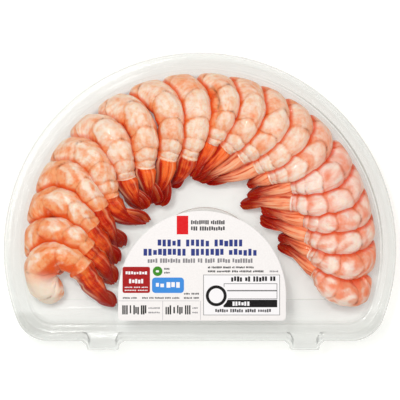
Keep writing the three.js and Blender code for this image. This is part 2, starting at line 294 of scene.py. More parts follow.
@dataclass(frozen=True)
class ShrimpFlesh:
    """Peeled, boiled shrimp flesh: pearly muscle under a thin coral skin, wet from its own juice.

    The muscle shows as a pale lobe on the back of each segment. The skin's colour gathers on the belly
    side, in the joints and towards the cut head end.
    """

    pearl: str = "F7E2CE"
    cream: str = "F4C296"
    peach: str = "F4AC76"
    coral: str = "F08240"
    deep: str = "E4560C"
    crease: str = "B04E20"
    vein: str = "6E3218"
    pink_pearl: str = "FAE4D8"
    pink: str = "EE7C66"
    rose: str = "D8442A"
    glassy: str = "F1E8D6"
    # The colour of the painted rim highlight where the body turns away.
    rim: str = "FFC088"
    mottle_mm: float = 7.0
    cloud_mm: float = 2.6
    fleck_mm: float = 1.5
    fibre_mm: float = 0.9
    bundle_mm: float = 2.4
    skin_blush: float = 0.72
    muscle_blush: float = 0.85
    filtering: float = 0.85
    fibre_relief: float = 0.35

    def make(self) -> bpy.types.Material:
        """Builds the flesh: lobes, belly, creases, pigment flecks and veins, over a wet fibrous skin.

        Where shrimps touch, orange light is painted in, and so is a rim highlight where the body turns away.
        """
        recipe = Recipe(Finish.FLESH.value)
        add = recipe.add
        grain = add("Attribute", out="Vector", attribute_name="grain")
        pale, belly, joint, blush, vein, glassy, crevice = (
            add("Attribute", out="Fac", attribute_name=name)
            for name in ("pale", "belly", "joint", "blush", "vein", "glassy", "crevice")
        )
        mottle = add("TexNoise", {
            "Vector": grain, "Scale": 1 / self.mottle_mm, "Detail": 5.0, "Roughness": 0.6, "Distortion": 0.6,
        })
        cloud = add("TexNoise", {
            "Vector": grain, "Scale": 1 / self.cloud_mm, "Detail": 4.0, "Roughness": 0.55,
        })
        # Muscle fibres run along the body, so their noise is drawn out lengthwise.
        drawn = add("Mapping", {"Vector": grain, "Scale": (0.2, 1.0, 1.0)})
        fibre = add("TexNoise", {"Vector": drawn, "Scale": 1 / self.fibre_mm, "Detail": 2.0})
        bundle = add("TexNoise", {"Vector": drawn, "Scale": 1 / self.bundle_mm, "Detail": 3.0})
        fleck = add("TexVoronoi", {"Vector": grain, "Scale": 1 / self.fleck_mm}, out="Distance")

        # The lobes' edges are ragged, so the mottle pushes them to and fro.
        loose = add("MapRange", [mottle, 0.3, 0.7, -0.24, 0.22])
        lobe, depth = (add("Math", [value, loose], operation="ADD") for value in (pale, belly))
        whiteness = add("MapRange", [lobe, 0.1, 0.88], interpolation_type="SMOOTHSTEP")
        deepness = add("MapRange", [depth, 0.25, 1.0], interpolation_type="SMOOTHSTEP")
        warm = add("MapRange", [cloud, 0.36, 0.6])
        skin_blush = add("Math", [blush, self.skin_blush], operation="MULTIPLY")
        muscle_blush = add("Math", [blush, self.muscle_blush], operation="MULTIPLY")
        skin_tone = add("Mix", {0: warm, 6: linear(self.coral), 7: linear(self.peach)}, **COLOUR_MIX)
        skin_tone = add("Mix", {0: deepness, 6: skin_tone, 7: linear(self.deep)}, **COLOUR_MIX)
        skin_tone = add("Mix", {0: skin_blush, 6: skin_tone, 7: linear(self.pink)}, **COLOUR_MIX)
        muscle = add("Mix", {0: warm, 6: linear(self.cream), 7: linear(self.pearl)}, **COLOUR_MIX)
        muscle = add("Mix", {0: muscle_blush, 6: muscle, 7: linear(self.pink_pearl)}, **COLOUR_MIX)

        # Between the fibre bundles the skin shows through as faint lines along the body.
        seams = add("MapRange", [bundle, 0.54, 0.7, 0.0, 0.36])
        # Where two shrimps touch, light passes only through flesh, which filters it to orange; that orange
        # light is painted in.
        orange = add("Mix", {0: skin_blush, 6: linear(self.deep), 7: linear(self.rose)}, **COLOUR_MIX)
        painted_crevice_glow = add("Math", [crevice, self.filtering], operation="MULTIPLY")
        # Pigment cells that burst in the pot leave small red-orange flecks where the skin is thick.
        core = add("MapRange", [fleck, 0.34, 0.14])
        strewn = add("MapRange", [mottle, 0.48, 0.64, 0.0, 0.16])
        flecks = add("Math", [core, strewn], operation="MULTIPLY")
        # Light comes out again where the body turns away, because the flesh is thin there, so a rim highlight
        # is painted there.
        facing = add("LayerWeight", {"Blend": 0.5}, out="Facing")
        rim = add("MapRange", [facing, 0.62, 0.92, 0.0, 0.5])
        tone = skin_tone
        for share, colour in (
            (whiteness, muscle), (seams, skin_tone), (glassy, linear(self.glassy)), (painted_crevice_glow, orange),
            (flecks, linear(self.crease)), (joint, linear(self.crease)), (vein, linear(self.vein)),
            (rim, linear(self.rim)),
        ):
            tone = add("Mix", {0: share, 6: tone, 7: colour}, **COLOUR_MIX)

        height = add("Math", [fibre, self.fibre_relief, cloud], operation="MULTIPLY_ADD")
        return recipe.shaded({
            "Base Color": tone, "Roughness": add("MapRange", [cloud, 0.3, 0.7, 0.26, 0.4]),
            "Normal": add("Bump", {"Strength": 0.5, "Distance": 0.0006, "Height": height}), "IOR": 1.38,
            "Subsurface Weight": 0.28, "Subsurface Radius": (1.0, 0.42, 0.22), "Subsurface Scale": 0.004,
            "Specular IOR Level": 0.15, "Coat Weight": 0.35, "Coat Roughness": 0.07, "Coat IOR": 1.33,
        })


@dataclass(frozen=True)
class ShrimpShell:
    """The shell left on the tail: boiled chitin, hard and glossy.

    It is orange at the root and blood red at the fan, and thin enough to glow: the cream along its folds is
    a painted highlight, and the amber in its streaks is painted glow.
    """

    root: str = "FA6824"
    middle: str = "CC2A06"
    fan: str = "A00C03"
    pink_root: str = "FAB890"
    # The cream of the painted fold highlights, and the amber of the painted glow.
    edge: str = "F8C79C"
    amber: str = "F29A42"
    cloud_mm: float = 6.0
    streak_mm: float = 1.9

    def make(self) -> bpy.types.Material:
        """Builds the shell: three tones from root to fan, painted amber glow and fold highlights, and pale
        stripes.
        """
        recipe = Recipe(Finish.SHELL.value)
        add = recipe.add
        grain = add("Attribute", out="Vector", attribute_name="grain")
        fan, fold, blush = (
            add("Attribute", out="Fac", attribute_name=name) for name in ("fan", "pale", "blush")
        )
        drawn = add("Mapping", {"Vector": grain, "Scale": (0.1, 1.0, 1.0)})
        streak = add("TexNoise", {"Vector": drawn, "Scale": 1 / self.streak_mm, "Detail": 3.0})
        cloud = add("TexNoise", {"Vector": grain, "Scale": 1 / self.cloud_mm, "Detail": 3.0})
        shift = add("MapRange", [cloud, 0.3, 0.7, -0.25, 0.25])
        depth = add("Math", [fan, shift], operation="ADD")
        early = add("MapRange", [depth, 0.05, 0.5])
        late = add("MapRange", [depth, 0.45, 0.95])
        # Light that shines through is painted in amber lines, most near the root, where the shell is
        # thinnest.
        thin = add("MapRange", [depth, 0.2, 0.8, 0.6, 0.2])
        lines = add("MapRange", [streak, 0.48, 0.75])
        glow = add("Math", [lines, thin], operation="MULTIPLY")
        stained = add("MapRange", [streak, 0.47, 0.3, 0.0, 0.7])
        broken = add("MapRange", [streak, 0.35, 0.6, 0.25, 1.0])
        # The cream on the folds is a painted highlight.
        folds = add("Math", [fold, broken], operation="MULTIPLY")
        # The pigment lies in lengthwise strands, so a shell with little of it shows pale stripes.
        strands = add("MapRange", [streak, 0.38, 0.62, 0.25, 1.7])
        stripes = add("Math", [blush, strands], operation="MULTIPLY", use_clamp=True)
        tone = linear(self.root)
        for share, colour in (
            (early, self.middle), (late, self.fan), (glow, self.amber), (stained, self.fan),
            (folds, self.edge), (stripes, self.pink_root),
        ):
            tone = add("Mix", {0: share, 6: tone, 7: linear(colour)}, **COLOUR_MIX)
        bump = add("Bump", {"Strength": 0.5, "Distance": 0.0005, "Height": streak})
        return recipe.shaded({
            "Base Color": tone, "Roughness": 0.3, "Normal": bump, "IOR": 1.5, "Specular IOR Level": 0.06,
            "Subsurface Weight": 0.06, "Subsurface Radius": (1.0, 0.3, 0.15), "Subsurface Scale": 0.002,
            "Coat Weight": 0.28, "Coat Roughness": 0.05, "Coat IOR": 1.33,
        })


@dataclass(frozen=True)
class ClearSheet:
    """Thermoformed PET sheet: water-clear where it is flat, grey where it turns down, painted grey where it
    bends.

    Seen along the sheet the light crosses more plastic, so walls look denser than the flat roof.
    """

    name: str
    tint: str = "E6E8E2"
    # The grey of the painted shade at bends.
    bend_shade: str = "A6A49A"
    flat: float = 0.0015
    steep: float = 0.05
    roughness: float = 0.06
    bend_density: float = 0.4
    bend_greyness: float = 1.4
    ripple_mm: float = 26.3

    def make(self) -> bpy.types.Material:
        """Builds the sheet: how much of it shows grows with its slope, its haze and its bends, whose grey is
        painted shade.
        """
        recipe = Recipe(self.name)
        add = recipe.add
        facing = add("LayerWeight", {"Blend": 0.35}, out="Facing")
        haze, bend = (add("Attribute", out="Fac", attribute_name=name) for name in ("haze", "bend"))
        place = add("TexCoord", out="Object")
        # The sheet thins unevenly as it is drawn into the mould, over a few centimetres.
        ripple = add("TexNoise", {"Vector": place, "Scale": 1 / (self.ripple_mm * MM), "Detail": 2.0})
        slope = add("MapRange", [facing, 0.1, 0.95, self.flat, self.steep])
        hazy = add("Math", [slope, haze], operation="ADD")
        # Bends are greyed with painted shade.
        greyed = add("Math", [bend, self.bend_greyness], operation="MULTIPLY")
        return recipe.shaded({
            "Base Color": add("Mix", {0: greyed, 6: linear(self.tint), 7: linear(self.bend_shade)}, **COLOUR_MIX),
            "Alpha": add("Math", [bend, self.bend_density, hazy], operation="MULTIPLY_ADD"),
            "Normal": add("Bump", {"Strength": 0.12, "Distance": 0.0006, "Height": ripple}),
            "Roughness": self.roughness, "IOR": 1.57,
        })


@dataclass(frozen=True)
class LabelPaper:
    """Coated label paper: a white, faintly pink sheet with a soft calendered shine."""

    white: str = "F1ECE9"
    shade: str = "EAE5E2"
    fibre_mm: float = 0.8

    def make(self) -> bpy.types.Material:
        """Builds the paper."""
        recipe = Recipe(Finish.PAPER.value)
        add = recipe.add
        place = add("TexCoord", out="Object")
        # Paper fibres are finer than a render shows, so they are drawn this coarse.
        pulp = add("TexNoise", {"Vector": place, "Scale": 1 / (self.fibre_mm * MM), "Detail": 2.0})
        mixed = add("MapRange", [pulp, 0.3, 0.7])
        return recipe.shaded({
            "Base Color": add("Mix", {0: mixed, 6: linear(self.white), 7: linear(self.shade)}, **COLOUR_MIX),
            "Normal": add("Bump", {"Strength": 0.08, "Distance": 0.0001, "Height": pulp}),
            "Roughness": 0.42, "IOR": 1.5,
        })


@dataclass(frozen=True)
class PrintingInk:
    """Offset ink on the label: a flat film that lies slightly uneven on the paper."""

    ink: Ink
    bare: str = "D8D2D0"
    lay_mm: float = 1.43

    def make(self) -> bpy.types.Material:
        """Builds the ink."""
        recipe = Recipe(f"offset_ink_{self.ink.name.lower()}")
        add = recipe.add
        place = add("TexCoord", out="Object")
        # The film's unevenness is finer than a render shows, so it is drawn this coarse.
        lay = add("TexNoise", {"Vector": place, "Scale": 1 / (self.lay_mm * MM), "Detail": 2.0})
        thin = add("MapRange", [lay, 0.35, 0.7, 0.0, 0.015])
        tone = add("Mix", {0: thin, 6: linear(self.ink.value), 7: linear(self.bare)}, **COLOUR_MIX)
        return recipe.shaded({
            "Base Color": tone, "Roughness": 0.5, "IOR": 1.5, "Specular IOR Level": 0.1,
        })


@dataclass(frozen=True)
class PotPlastic:
    """Injection-moulded polypropylene: milky and a little translucent, with a soft sheen."""

    milk: str = "F6F2EB"
    flow: str = "FBF8F2"
    # The grey of the painted shade on the rolled lip.
    lip: str = "C2BEB8"
    flow_mm: float = 8.33

    def make(self) -> bpy.types.Material:
        """Builds the pot's plastic."""
        recipe = Recipe(Finish.POT.value)
        add = recipe.add
        place = add("TexCoord", out="Object")
        # The melt leaves faint flow marks where it filled the mould.
        swirl = add("TexNoise", {"Vector": place, "Scale": 1 / (self.flow_mm * MM), "Detail": 3.0})
        mixed = add("MapRange", [swirl, 0.3, 0.7])
        tone = add("Mix", {0: mixed, 6: linear(self.milk), 7: linear(self.flow)}, **COLOUR_MIX)
        # The rolled lip is seen along the plastic, so it is greyed with painted shade.
        facing = add("LayerWeight", {"Blend": 0.5}, out="Facing")
        along = add("MapRange", [facing, 0.1, 0.4])
        tone = add("Mix", {0: along, 6: tone, 7: linear(self.lip)}, **COLOUR_MIX)
        return recipe.shaded({"Base Color": tone, "Roughness": 0.38, "IOR": 1.49})


@dataclass(frozen=True)
class TomatoSauce:
    """Cocktail sauce: thick tomato and horseradish, dark red and wet, with pale shreds."""

    red: str = "8E1F12"
    bright: str = "B5341B"
    shred: str = "D9A27A"
    pulp_mm: float = 2.38
    shred_mm: float = 3.03

    def make(self) -> bpy.types.Material:
        """Builds the sauce."""
        recipe = Recipe(Finish.SAUCE.value)
        add = recipe.add
        place = add("TexCoord", out="Object")
        pulp = add("TexNoise", {"Vector": place, "Scale": 1 / (self.pulp_mm * MM), "Detail": 5.0})
        shreds = add("TexVoronoi", {"Vector": place, "Scale": 1 / (self.shred_mm * MM)}, out="Distance")
        mixed = add("MapRange", [pulp, 0.3, 0.7])
        tone = add("Mix", {0: mixed, 6: linear(self.red), 7: linear(self.bright)}, **COLOUR_MIX)
        strewn = add("MapRange", [shreds, 0.16, 0.08, 0.0, 0.6])
        tone = add("Mix", {0: strewn, 6: tone, 7: linear(self.shred)}, **COLOUR_MIX)
        bump = add("Bump", {"Strength": 0.5, "Distance": 0.0006, "Height": pulp})
        return recipe.shaded({
            "Base Color": tone, "Roughness": 0.22, "Normal": bump, "IOR": 1.38,
            "Subsurface Weight": 0.1, "Subsurface Scale": 0.002,
        })


@dataclass(frozen=True)
class OpalAcrylic:
    """A white acrylic sheet with a sandblasted tooth, lit faintly from below."""

    glow: float
    white: str = "F6F9F5"
    shade: str = "F3F6F2"
    lamp: str = "FFFEFC"
    tooth_mm: float = 16.7

    def make(self) -> bpy.types.Material:
        """Builds the acrylic."""
        recipe = Recipe(Finish.TABLE.value)
        add = recipe.add
        place = add("TexCoord", out="Object")
        # The tooth is too fine to show, so only its slow change in tone is drawn.
        tooth = add("TexNoise", {"Vector": place, "Scale": 1 / (self.tooth_mm * MM), "Detail": 3.0})
        mixed = add("MapRange", [tooth, 0.3, 0.7, 0.0, 0.4])
        return recipe.shaded({
            "Base Color": add("Mix", {0: mixed, 6: linear(self.white), 7: linear(self.shade)}, **COLOUR_MIX),
            "Roughness": 0.9, "Emission Color": linear(self.lamp), "Emission Strength": self.glow,
        })


class FinishBook:
    """Makes each finish once and hands it out."""

    def __init__(self) -> None:
        """Makes all finishes of the pack."""
        makers = {
            Finish.LID_PET: ClearSheet(Finish.LID_PET.value),
            Finish.TRAY_PET: ClearSheet(Finish.TRAY_PET.value, tint="CCCEC8", flat=0.035, steep=0.06),
            Finish.SEAL: ClearSheet(Finish.SEAL.value, tint="F2F0EC", flat=0.12, steep=0.3, roughness=0.2),
            Finish.FLESH: ShrimpFlesh(),
            Finish.SHELL: ShrimpShell(),
            Finish.PAPER: LabelPaper(),
            Finish.POT: PotPlastic(),
            Finish.SAUCE: TomatoSauce(),
        }
        self.book = {finish: maker.make() for finish, maker in makers.items()}
        self.inks = {ink: PrintingInk(ink).make() for ink in Ink}

    def __getitem__(self, finish: Finish) -> bpy.types.Material:
        """The material of a finish."""
        return self.book[finish]


# ---- Tray and lid ----


@dataclass(frozen=True)
class Tab:
    """A pull tab on the front edge."""

    x: float
    half_width: float


@dataclass(frozen=True)
class Level:
    """One line round the pack, from its edge inwards.

    It holds how far in it runs, how high, how far in on the tabs (none where it passes them straight),
    how hazy the sheet is there and how sharply it bends, which shows as a painted grey line of shade. A
    crease shows as a thin painted dark line of shade, on the side turned from the light only.
    """

    inset: float
    z: float
    tab: float | None = None
    haze: float = 0.0
    bend: float = 0.0
    crease: float = 0.0

    def towards(self, other: Level, share: float) -> Level:
        """The level part of the way to another one, which passes the tabs straight where either does."""
        pairs = zip(astuple(self), astuple(other))
        return Level(*(None if None in (low, high) else low + share * (high - low) for low, high in pairs))


@dataclass(frozen=True)
class Outline:
    """The half-moon outline: a circle cut by a straight front with rounded corners and two tabs."""

    radius: float = 150.0
    front: float = 70.6
    corner: float = 26.0
    corner_shrink: float = 0.45
    """How much tighter the corners get for each millimetre further in."""
    least_corner: float = 9.0
    tab_reach: float = 77.4
    """How far in front of the circle's centre the tabs end."""
    tab_flare: float = 3.4
    tab_corner: float = 2.8
    tab_side: float = 0.55
    """The share of a tab's side that is hollow. Its round corner takes the rest."""
    tab_lead: float = -0.25
    """Where a tab's side would leave the front edge if it went on, as a share of the side."""
    tabs: tuple[Tab, ...] = (Tab(-74.2, 12.6), Tab(79.9, 11.6))
    tab_steps: int = 16
    back_steps: int = 144
    flank_steps: int = 16
    corner_steps: int = 14

    def arc(
        self, centre: tuple[float, float], radius: float, start: float, end: float, steps: int
    ) -> np.ndarray:
        """Points on an arc, both ends included."""
        angles = np.linspace(start, end, steps + 1)
        return np.stack([centre[0] + radius * np.cos(angles), centre[1] + radius * np.sin(angles)], 1)

    def across_tab(self, tab: Tab, edge: float, inset: float | None) -> np.ndarray:
        """The front edge across one tab.

        Args:
            tab: the tab.
            edge: the front edge's place in y.
            inset: how far in the line runs on the tab, or None where it passes the tab straight.

        Returns:
            The points, from left to right.
        """
        half = tab.half_width - (inset or 0.0)
        depth = 0.0 if inset is None else self.tab_reach - inset + edge
        share = np.linspace(0, 1, self.tab_steps)
        # The tab's side leaves the edge in a hollow curve and ends in a round corner.
        hollow = self.tab_flare * (1 - smooth_step(share, 0.0, self.tab_side)) ** 1.6
        round_part = np.clip(share - self.tab_side, 0, 1) / (1 - self.tab_side)
        rounding = self.tab_corner * (1 - np.sqrt(np.clip(1 - round_part**2, 0, 1)))
        reach = half + hollow - rounding
        start = smooth_step(np.array([0.0]), self.tab_lead, 1.0)
        drop = edge - depth * smooth_step(share, self.tab_lead, 1.0) + depth * start * (1 - share)
        left = np.stack([tab.x - reach, drop], 1)
        right = np.stack([tab.x + reach, drop], 1)
        return np.concatenate([left, right[::-1]])

    def ring(self, level: Level) -> np.ndarray:
        """Points of one level.

        Args:
            level: the level.

        Returns:
            Its points, from the right corner round by the back and then along the front.
        """
        radius, front = self.radius - level.inset, self.front - level.inset
        corner = max(self.corner - self.corner_shrink * level.inset, self.least_corner)
        corner_y = corner - front
        corner_x = math.sqrt((radius - corner) ** 2 - corner_y**2)
        meet = math.atan2(corner_y, corner_x)
        plan = np.concatenate([
            self.arc((corner_x, corner_y), corner, -math.pi / 2, meet, self.corner_steps)[:-1],
            self.arc((0, 0), radius, meet, 0, self.flank_steps)[:-1],
            self.arc((0, 0), radius, 0, math.pi, self.back_steps),
            self.arc((0, 0), radius, math.pi, math.pi - meet, self.flank_steps)[1:],
            self.arc((-corner_x, corner_y), corner, math.pi - meet, 1.5 * math.pi, self.corner_steps)[1:],
            *(self.across_tab(tab, -front, level.tab) for tab in self.tabs),
        ])
        return np.column_stack([plan, np.full(len(plan), level.z)])


def rounded(levels: Sequence[Level], passes: int = 2) -> list[Level]:
    """Rounds the bends of a profile by cutting its corners.

    Args:
        levels: the profile.
        passes: how many times each corner is cut.

    Returns:
        The rounded profile, with its two ends kept.
    """
    for _ in range(passes):
        cut = [a.towards(b, share) for a, b in zip(levels, levels[1:]) for share in (0.25, 0.75)]
        levels = [levels[0], *cut, levels[-1]]
    return list(levels)


@dataclass
class FormedShell:
    """A thermoformed half of the pack, drawn as a closed sheet through its levels.

    The light comes from the back left, so the painted shade on the bends is darkest round a bearing at the
    right, and on the creases a little further back. The front is painted dark all along, except close
    beside the tabs. Beside the label its rim gets more painted shade, more so on the left.
    """

    name: str
    outline: Outline
    underside: tuple[Level, ...]
    topside: tuple[Level, ...]
    finish: Finish
    dark_bearing: float = 18.0
    crease_bearing: float = 30.0
    least_dark: float = 0.14
    most_dark: float = 1.24
    front_dark: float = 0.76
    tab_relief: float = 0.8
    tab_relief_width: float = 5.0
    front_shade_middle: float = 0.23
    front_shade_slope: float = -0.0004
    front_from: tuple[float, float] = (30.0, 50.0)
    """Where the front's darkness sets in and is full, in millimetres before the circle's centre."""
    tabs_from: tuple[float, float] = (56.0, 64.0)
    front_shade_from: tuple[float, float] = (46.0, 51.0)
    front_shade_to: tuple[float, float] = (62.0, 68.0)
    front_shade_above: tuple[float, float] = (32.0, 33.0)
    front_shade_beside: tuple[float, float] = (58.0, 70.0)
    # """Where the stretches of painted shade begin to either side, which is where the label ends."""
    """Where the dull stretches begin to either side, which is where the label ends."""

    def build(self, book: FinishBook) -> None:
        """Builds the shell and dresses it.

        Args:
            book: the finishes.
        """
        levels = rounded(self.underside) + rounded(self.topside)
        rings = [self.outline.ring(level) for level in levels]
        around = len(rings[0])
        points = np.concatenate(rings)
        haze, bend, crease = (
            np.repeat(values, around)
            for values in zip(*((level.haze, level.bend, level.crease) for level in levels))
        )
        # Bends, creases and the front beside the label are darkened with painted shade through the bend
        # value.
        bend = bend * self.darkness(points) + crease * self.shade(points) + self.painted_front_shade(points)
        surface = Surface()
        surface.add(points, capped(len(rings), around), haze=haze, bend=bend)
        surface.piece(self.name, [book[self.finish]], "clear_plastic", self.name)

    def turned_to(self, points: np.ndarray, bearing: float) -> np.ndarray:
        """How nearly the rim faces a bearing, from 0 at right angles or beyond to 1."""
        return np.clip(np.cos(np.arctan2(points[:, 1], points[:, 0]) - math.radians(bearing)), 0, 1)

    def shade(self, points: np.ndarray) -> np.ndarray:
        """How dark a crease looks: only where the rim is turned from the light."""
        return self.turned_to(points, self.crease_bearing) ** 8

    def darkness(self, points: np.ndarray) -> np.ndarray:
        """How dark a bend looks: most on the side that turns away from the light, least beside a tab.

        Args:
            points: points of the sheet.

        Returns:
            A factor for each.
        """
        away = self.turned_to(points, self.dark_bearing) ** 2
        front = self.front_dark * smooth_step(-points[:, 1], *self.front_from)
        beside = smooth_step(-points[:, 1], *self.tabs_from) * sum(
            hump(np.abs(points[:, 0] - tab.x), tab.half_width, self.tab_relief_width)
            for tab in self.outline.tabs
        )
        dark = self.least_dark + (self.most_dark - self.least_dark) * away
        return np.maximum(dark, front) * (1 - self.tab_relief * beside)

    def painted_front_shade(self, points: np.ndarray) -> np.ndarray:
        """How much painted shade darkens the front of the rim to either side of the label."""
        x, y, z = points.T
        front = smooth_step(-y, *self.front_shade_from) * (1 - smooth_step(-y, *self.front_shade_to))
        beside = smooth_step(np.abs(x), *self.front_shade_beside) * smooth_step(z, *self.front_shade_above)
        return (self.front_shade_middle + self.front_shade_slope * x) * beside * front


def tray_shell(outline: Outline) -> FormedShell:
    """The tray: a drafted bowl with a grooved floor, a flat flange, a turned-down lip and two tabs."""
    # The bend values here give painted lines of shade, and the one on the floor marks its slight step.
    underside = (
        Level(40, 0), Level(31, 0), Level(29.5, 0), Level(21.2, 0.8), Level(15.3, 4.6), Level(13.8, 14),
        Level(12.8, 31.4), Level(12.2, 32.2), Level(3, 32.2, 2.9, 0.03, 0.1),
        Level(2.7, 29.5, 2.4, 0.03, 0.1), Level(1.8, 29.5, 1.6, 0.03, 0.1),
    )
    topside = (
        Level(1.8, 29.5, 1.6, 0.03, 0.1), Level(2.1, 32.4, 1.9, 0.03, 0.1), Level(3.2, 33, 2.6, 0.03, 0.1),
        Level(13.1, 33, None, 0.03, 0.1), Level(13.7, 31.8, None, 0.0, 0.2), Level(14.7, 14),
        Level(16.2, 5.2), Level(21.6, 1.6), Level(29.2, 0.85), Level(30.2, 0.8),
        Level(30.7, 0.8, None, 0.04, 0.6), Level(31.2, 0.8), Level(32.2, 0.8), Level(40, 0.8),
    )
    return FormedShell("tray", outline, underside, topside, Finish.TRAY_PET)


def lid_shell(outline: Outline) -> FormedShell:
    """The lid: a flat roof on a sloped wall, a ribbed valley, a bead and a skirt over the tray's lip."""
    # The bend and crease values here give painted lines of shade.
    underside = (
        Level(24, 44.2), Level(18.4, 44.2), Level(17.5, 44.2), Level(16.4, 43.4), Level(14.2, 34.6),
        Level(13.1, 33.4, None, 0.05), Level(7, 33.4, 2.8, 0.08, 0.12), Level(5.7, 34.5, 2.1, 0.1, 0.1),
        Level(2.4, 34.5, 1.6, 0.1, 0.1), Level(1.6, 33.7, 1.2, 0.14, 0.1), Level(0.9, 28, 0.8, 0.3, 0.1),
    )
    topside = (
        Level(0, 28, 0, 0.42, 0.3), Level(0.7, 34.5, 0.4, 0.34, 0.2), Level(1.7, 35.3, 1.1, 0.24, 0.1),
        Level(5.4, 35.3, 2.3, 0.18, 0.05), Level(6.2, 35.25, 2.6, 0.14, 0.16),
        Level(7.0, 34.5, 3.0, 0.11, 0.1), Level(7.6, 34.2, 3.4, 0.09, 0.08),
        Level(9.4, 34.2, None, 0.09, 0.08), Level(10.6, 34.3, None, 0.09, 0.13),
        Level(11.2, 34.5, None, 0.09, 0.13, 2.6), Level(11.8, 34.6, None, 0.1),
        Level(12.6, 34.3, None, 0.06, 0.1), Level(13.2, 34.8, None, 0.08, 0.5),
        Level(13.8, 36.4, None, 0.05, 0.26), Level(15.7, 44.1, None, 0.02, 0.2),
        Level(17.2, 45, None, 0.0, 0.1), Level(18.4, 45), Level(24, 45),
    )
    return FormedShell("lid", outline, underside, topside, Finish.LID_PET)


# ---- Shrimps ----


@dataclass(frozen=True)
class Place:
    """How one shrimp lies: see the ring's own words. Bearings, lean, turn and tip are degrees."""

    bearing: float
    distance: float
    lean: float
    turn: float
    body: float
    tip_at: float
    tip: float
    tip_z: float
    bend: float = 2.6


@dataclass(frozen=True)
class Character:
    """What differs from one shrimp to the next besides how it lies.

    The lobe's reach is how far round from the back the pale flesh comes, and the cut is where the vein's
    slit runs, in degrees. The cut's depth is in millimetres. The shell starts at a station, and the hood is
    how far each segment reaches over the next, in segments. The fan's reddening starts at a share of its
    length, and its roundness is the power of its blades' rounding. The other values are factors, or run
    from 0 to 1: how blushed, pale, torn or dark a part is, how much painted orange light shows where
    shrimps touch, and how white the flesh's rim under the shell is.
    """

    lobe_reach: float
    blush: float
    head_pale: float
    pallor: float
    torn: float
    contact: float
    collar: float
    hood: float
    side_dark: float
    shell_dark: float
    shell_blush: float
    shell_from: float
    shell_width: float
    fan_width: float
    fan_spread: float
    fan_tone: float
    fan_from: float
    fan_round: float
    cut_at: float
    cut_depth: float
    glassy_head: bool

    ROUND_THE_RING: ClassVar[dict[str, tuple[tuple[int, ...], tuple[float, ...]]]] = {
        "lobe_reach": ((1, 4, 5, 6, 9, 10, 11, 15, 20), (40, 54, 74, 90, 88, 58, 88, 86, 60)),
        "blush": ((1, 9, 13, 15, 20), (0.06, 0.14, 0.25, 0.85, 0.75)),
        "head_pale": ((1, 3, 4, 5, 6, 8, 12, 16, 20), (0.4, 0.5, 0.72, 0.98, 0.95, 0.82, 0.7, 0.75, 0.5)),
        "pallor": ((1, 3, 5, 6, 16, 18, 20), (0.82, 0.84, 0.98, 1.0, 1.0, 0.9, 0.85)),
        "torn": ((1, 4, 5, 6, 8, 16, 18, 20), (0.75, 0.55, 0.4, 0.2, 0.12, 0.15, 0.35, 0.5)),
        "contact": ((1, 4, 5, 7, 8, 20), (1.0, 1.0, 0.6, 0.5, 1.0, 1.0)),
        "collar": ((1, 5, 6, 20), (0.3, 0.4, 1.0, 1.2)),
        "hood": ((1, 9, 11, 13, 20), (0.34, 0.34, 0.3, 0.22, 0.2)),
        "side_dark": ((1, 5, 11, 14, 20), (0.9, 1.0, 0.95, 0.6, 0.6)),
        # How dark each tail's shell is all over: partly its own deeper red, partly painted shade where a tail
        # lies in the dark between its neighbours.
        "shell_dark": (
            (1, 4, 5, 6, 7, 8, 9, 10, 11, 20), (0.42, 0.46, 0.32, 0.32, 0.0, 0.0, 0.42, 0.16, 0.0, 0.03),
        ),
        "shell_blush": (
            (1, 10, 11, 12, 13, 14, 16, 17, 20), (0.0, 0.03, 0.08, 0.65, 0.68, 0.5, 0.64, 0.48, 0.44),
        ),
        "shell_from": ((1, 4, 5, 6, 20), (0.84, 0.88, 0.94, 1.0, 1.0)),
        "shell_width": ((1, 5, 9, 11, 20), (1.45, 1.5, 1.3, 1.15, 1.25)),
        "fan_width": ((1, 4, 5, 6, 8, 9, 11, 20), (1.45, 1.8, 2.1, 1.6, 1.35, 0.8, 0.7, 0.85)),
        "fan_spread": ((1, 4, 5, 6, 8, 9, 11, 20), (0.8, 1.2, 0.9, 1.15, 1.15, 0.5, 0.4, 0.5)),
        "fan_tone": (
            (1, 4, 5, 6, 8, 9, 12, 14, 20), (0.05, 0.05, -0.32, -0.14, -0.18, 0.0, -0.03, 0.08, 0.12),
        ),
        "fan_from": ((1, 11, 14, 20), (0.0, 0.1, 0.36, 0.36)),
        "fan_round": ((1, 5, 6, 20), (0.95, 1.0, 0.55, 0.5)),
    }
    """Values at some of the shrimps' numbers. Those between are read off a straight line."""
    OPENED: ClassVar[int] = 10
    """The shrimp whose back is cut open along the vein."""
    GLASSY: ClassVar[int] = 1
    """The shrimp whose head end shows, and is glassy."""

    @classmethod
    def of(cls, number: int, dice: random.Random) -> Character:
        """The character of a shrimp in the ring.

        Args:
            number: its number, from 1.
            dice: its own chances.

        Returns:
            The character.
        """
        values = {name: float(np.interp(number, *line)) for name, line in cls.ROUND_THE_RING.items()}
        values["lobe_reach"] += dice.uniform(-5, 5)
        values["blush"] += dice.uniform(0, 0.1)
        opened = number == cls.OPENED
        return cls(
            **values, cut_at=64.0 if opened else 0.0, cut_depth=2.2 if opened else dice.uniform(0.15, 0.45),
            glassy_head=number == cls.GLASSY,
        )


@dataclass(frozen=True)
class Body:
    """One shrimp's body while it is being made: its middle line and where each of its points lies.

    Stations, flanks (angles round the body in degrees), phases (segment numbers with fractions) and
    distances from the vein's slit hold a row for each ring of points. The waves are the phases of its own
    unevenness.
    """

    line: np.ndarray
    at: np.ndarray
    station: np.ndarray
    flank: np.ndarray
    phase: np.ndarray
    ragged: np.ndarray
    wave: list[float]

    @property
    def within(self) -> np.ndarray:
        """How far along its segment each point is, from 0 to 1."""
        return self.phase - np.floor(self.phase)

    @property
    def gap(self) -> np.ndarray:
        """How far each point is from the nearest joint, in segments."""
        return np.minimum(self.within, 1 - self.within)


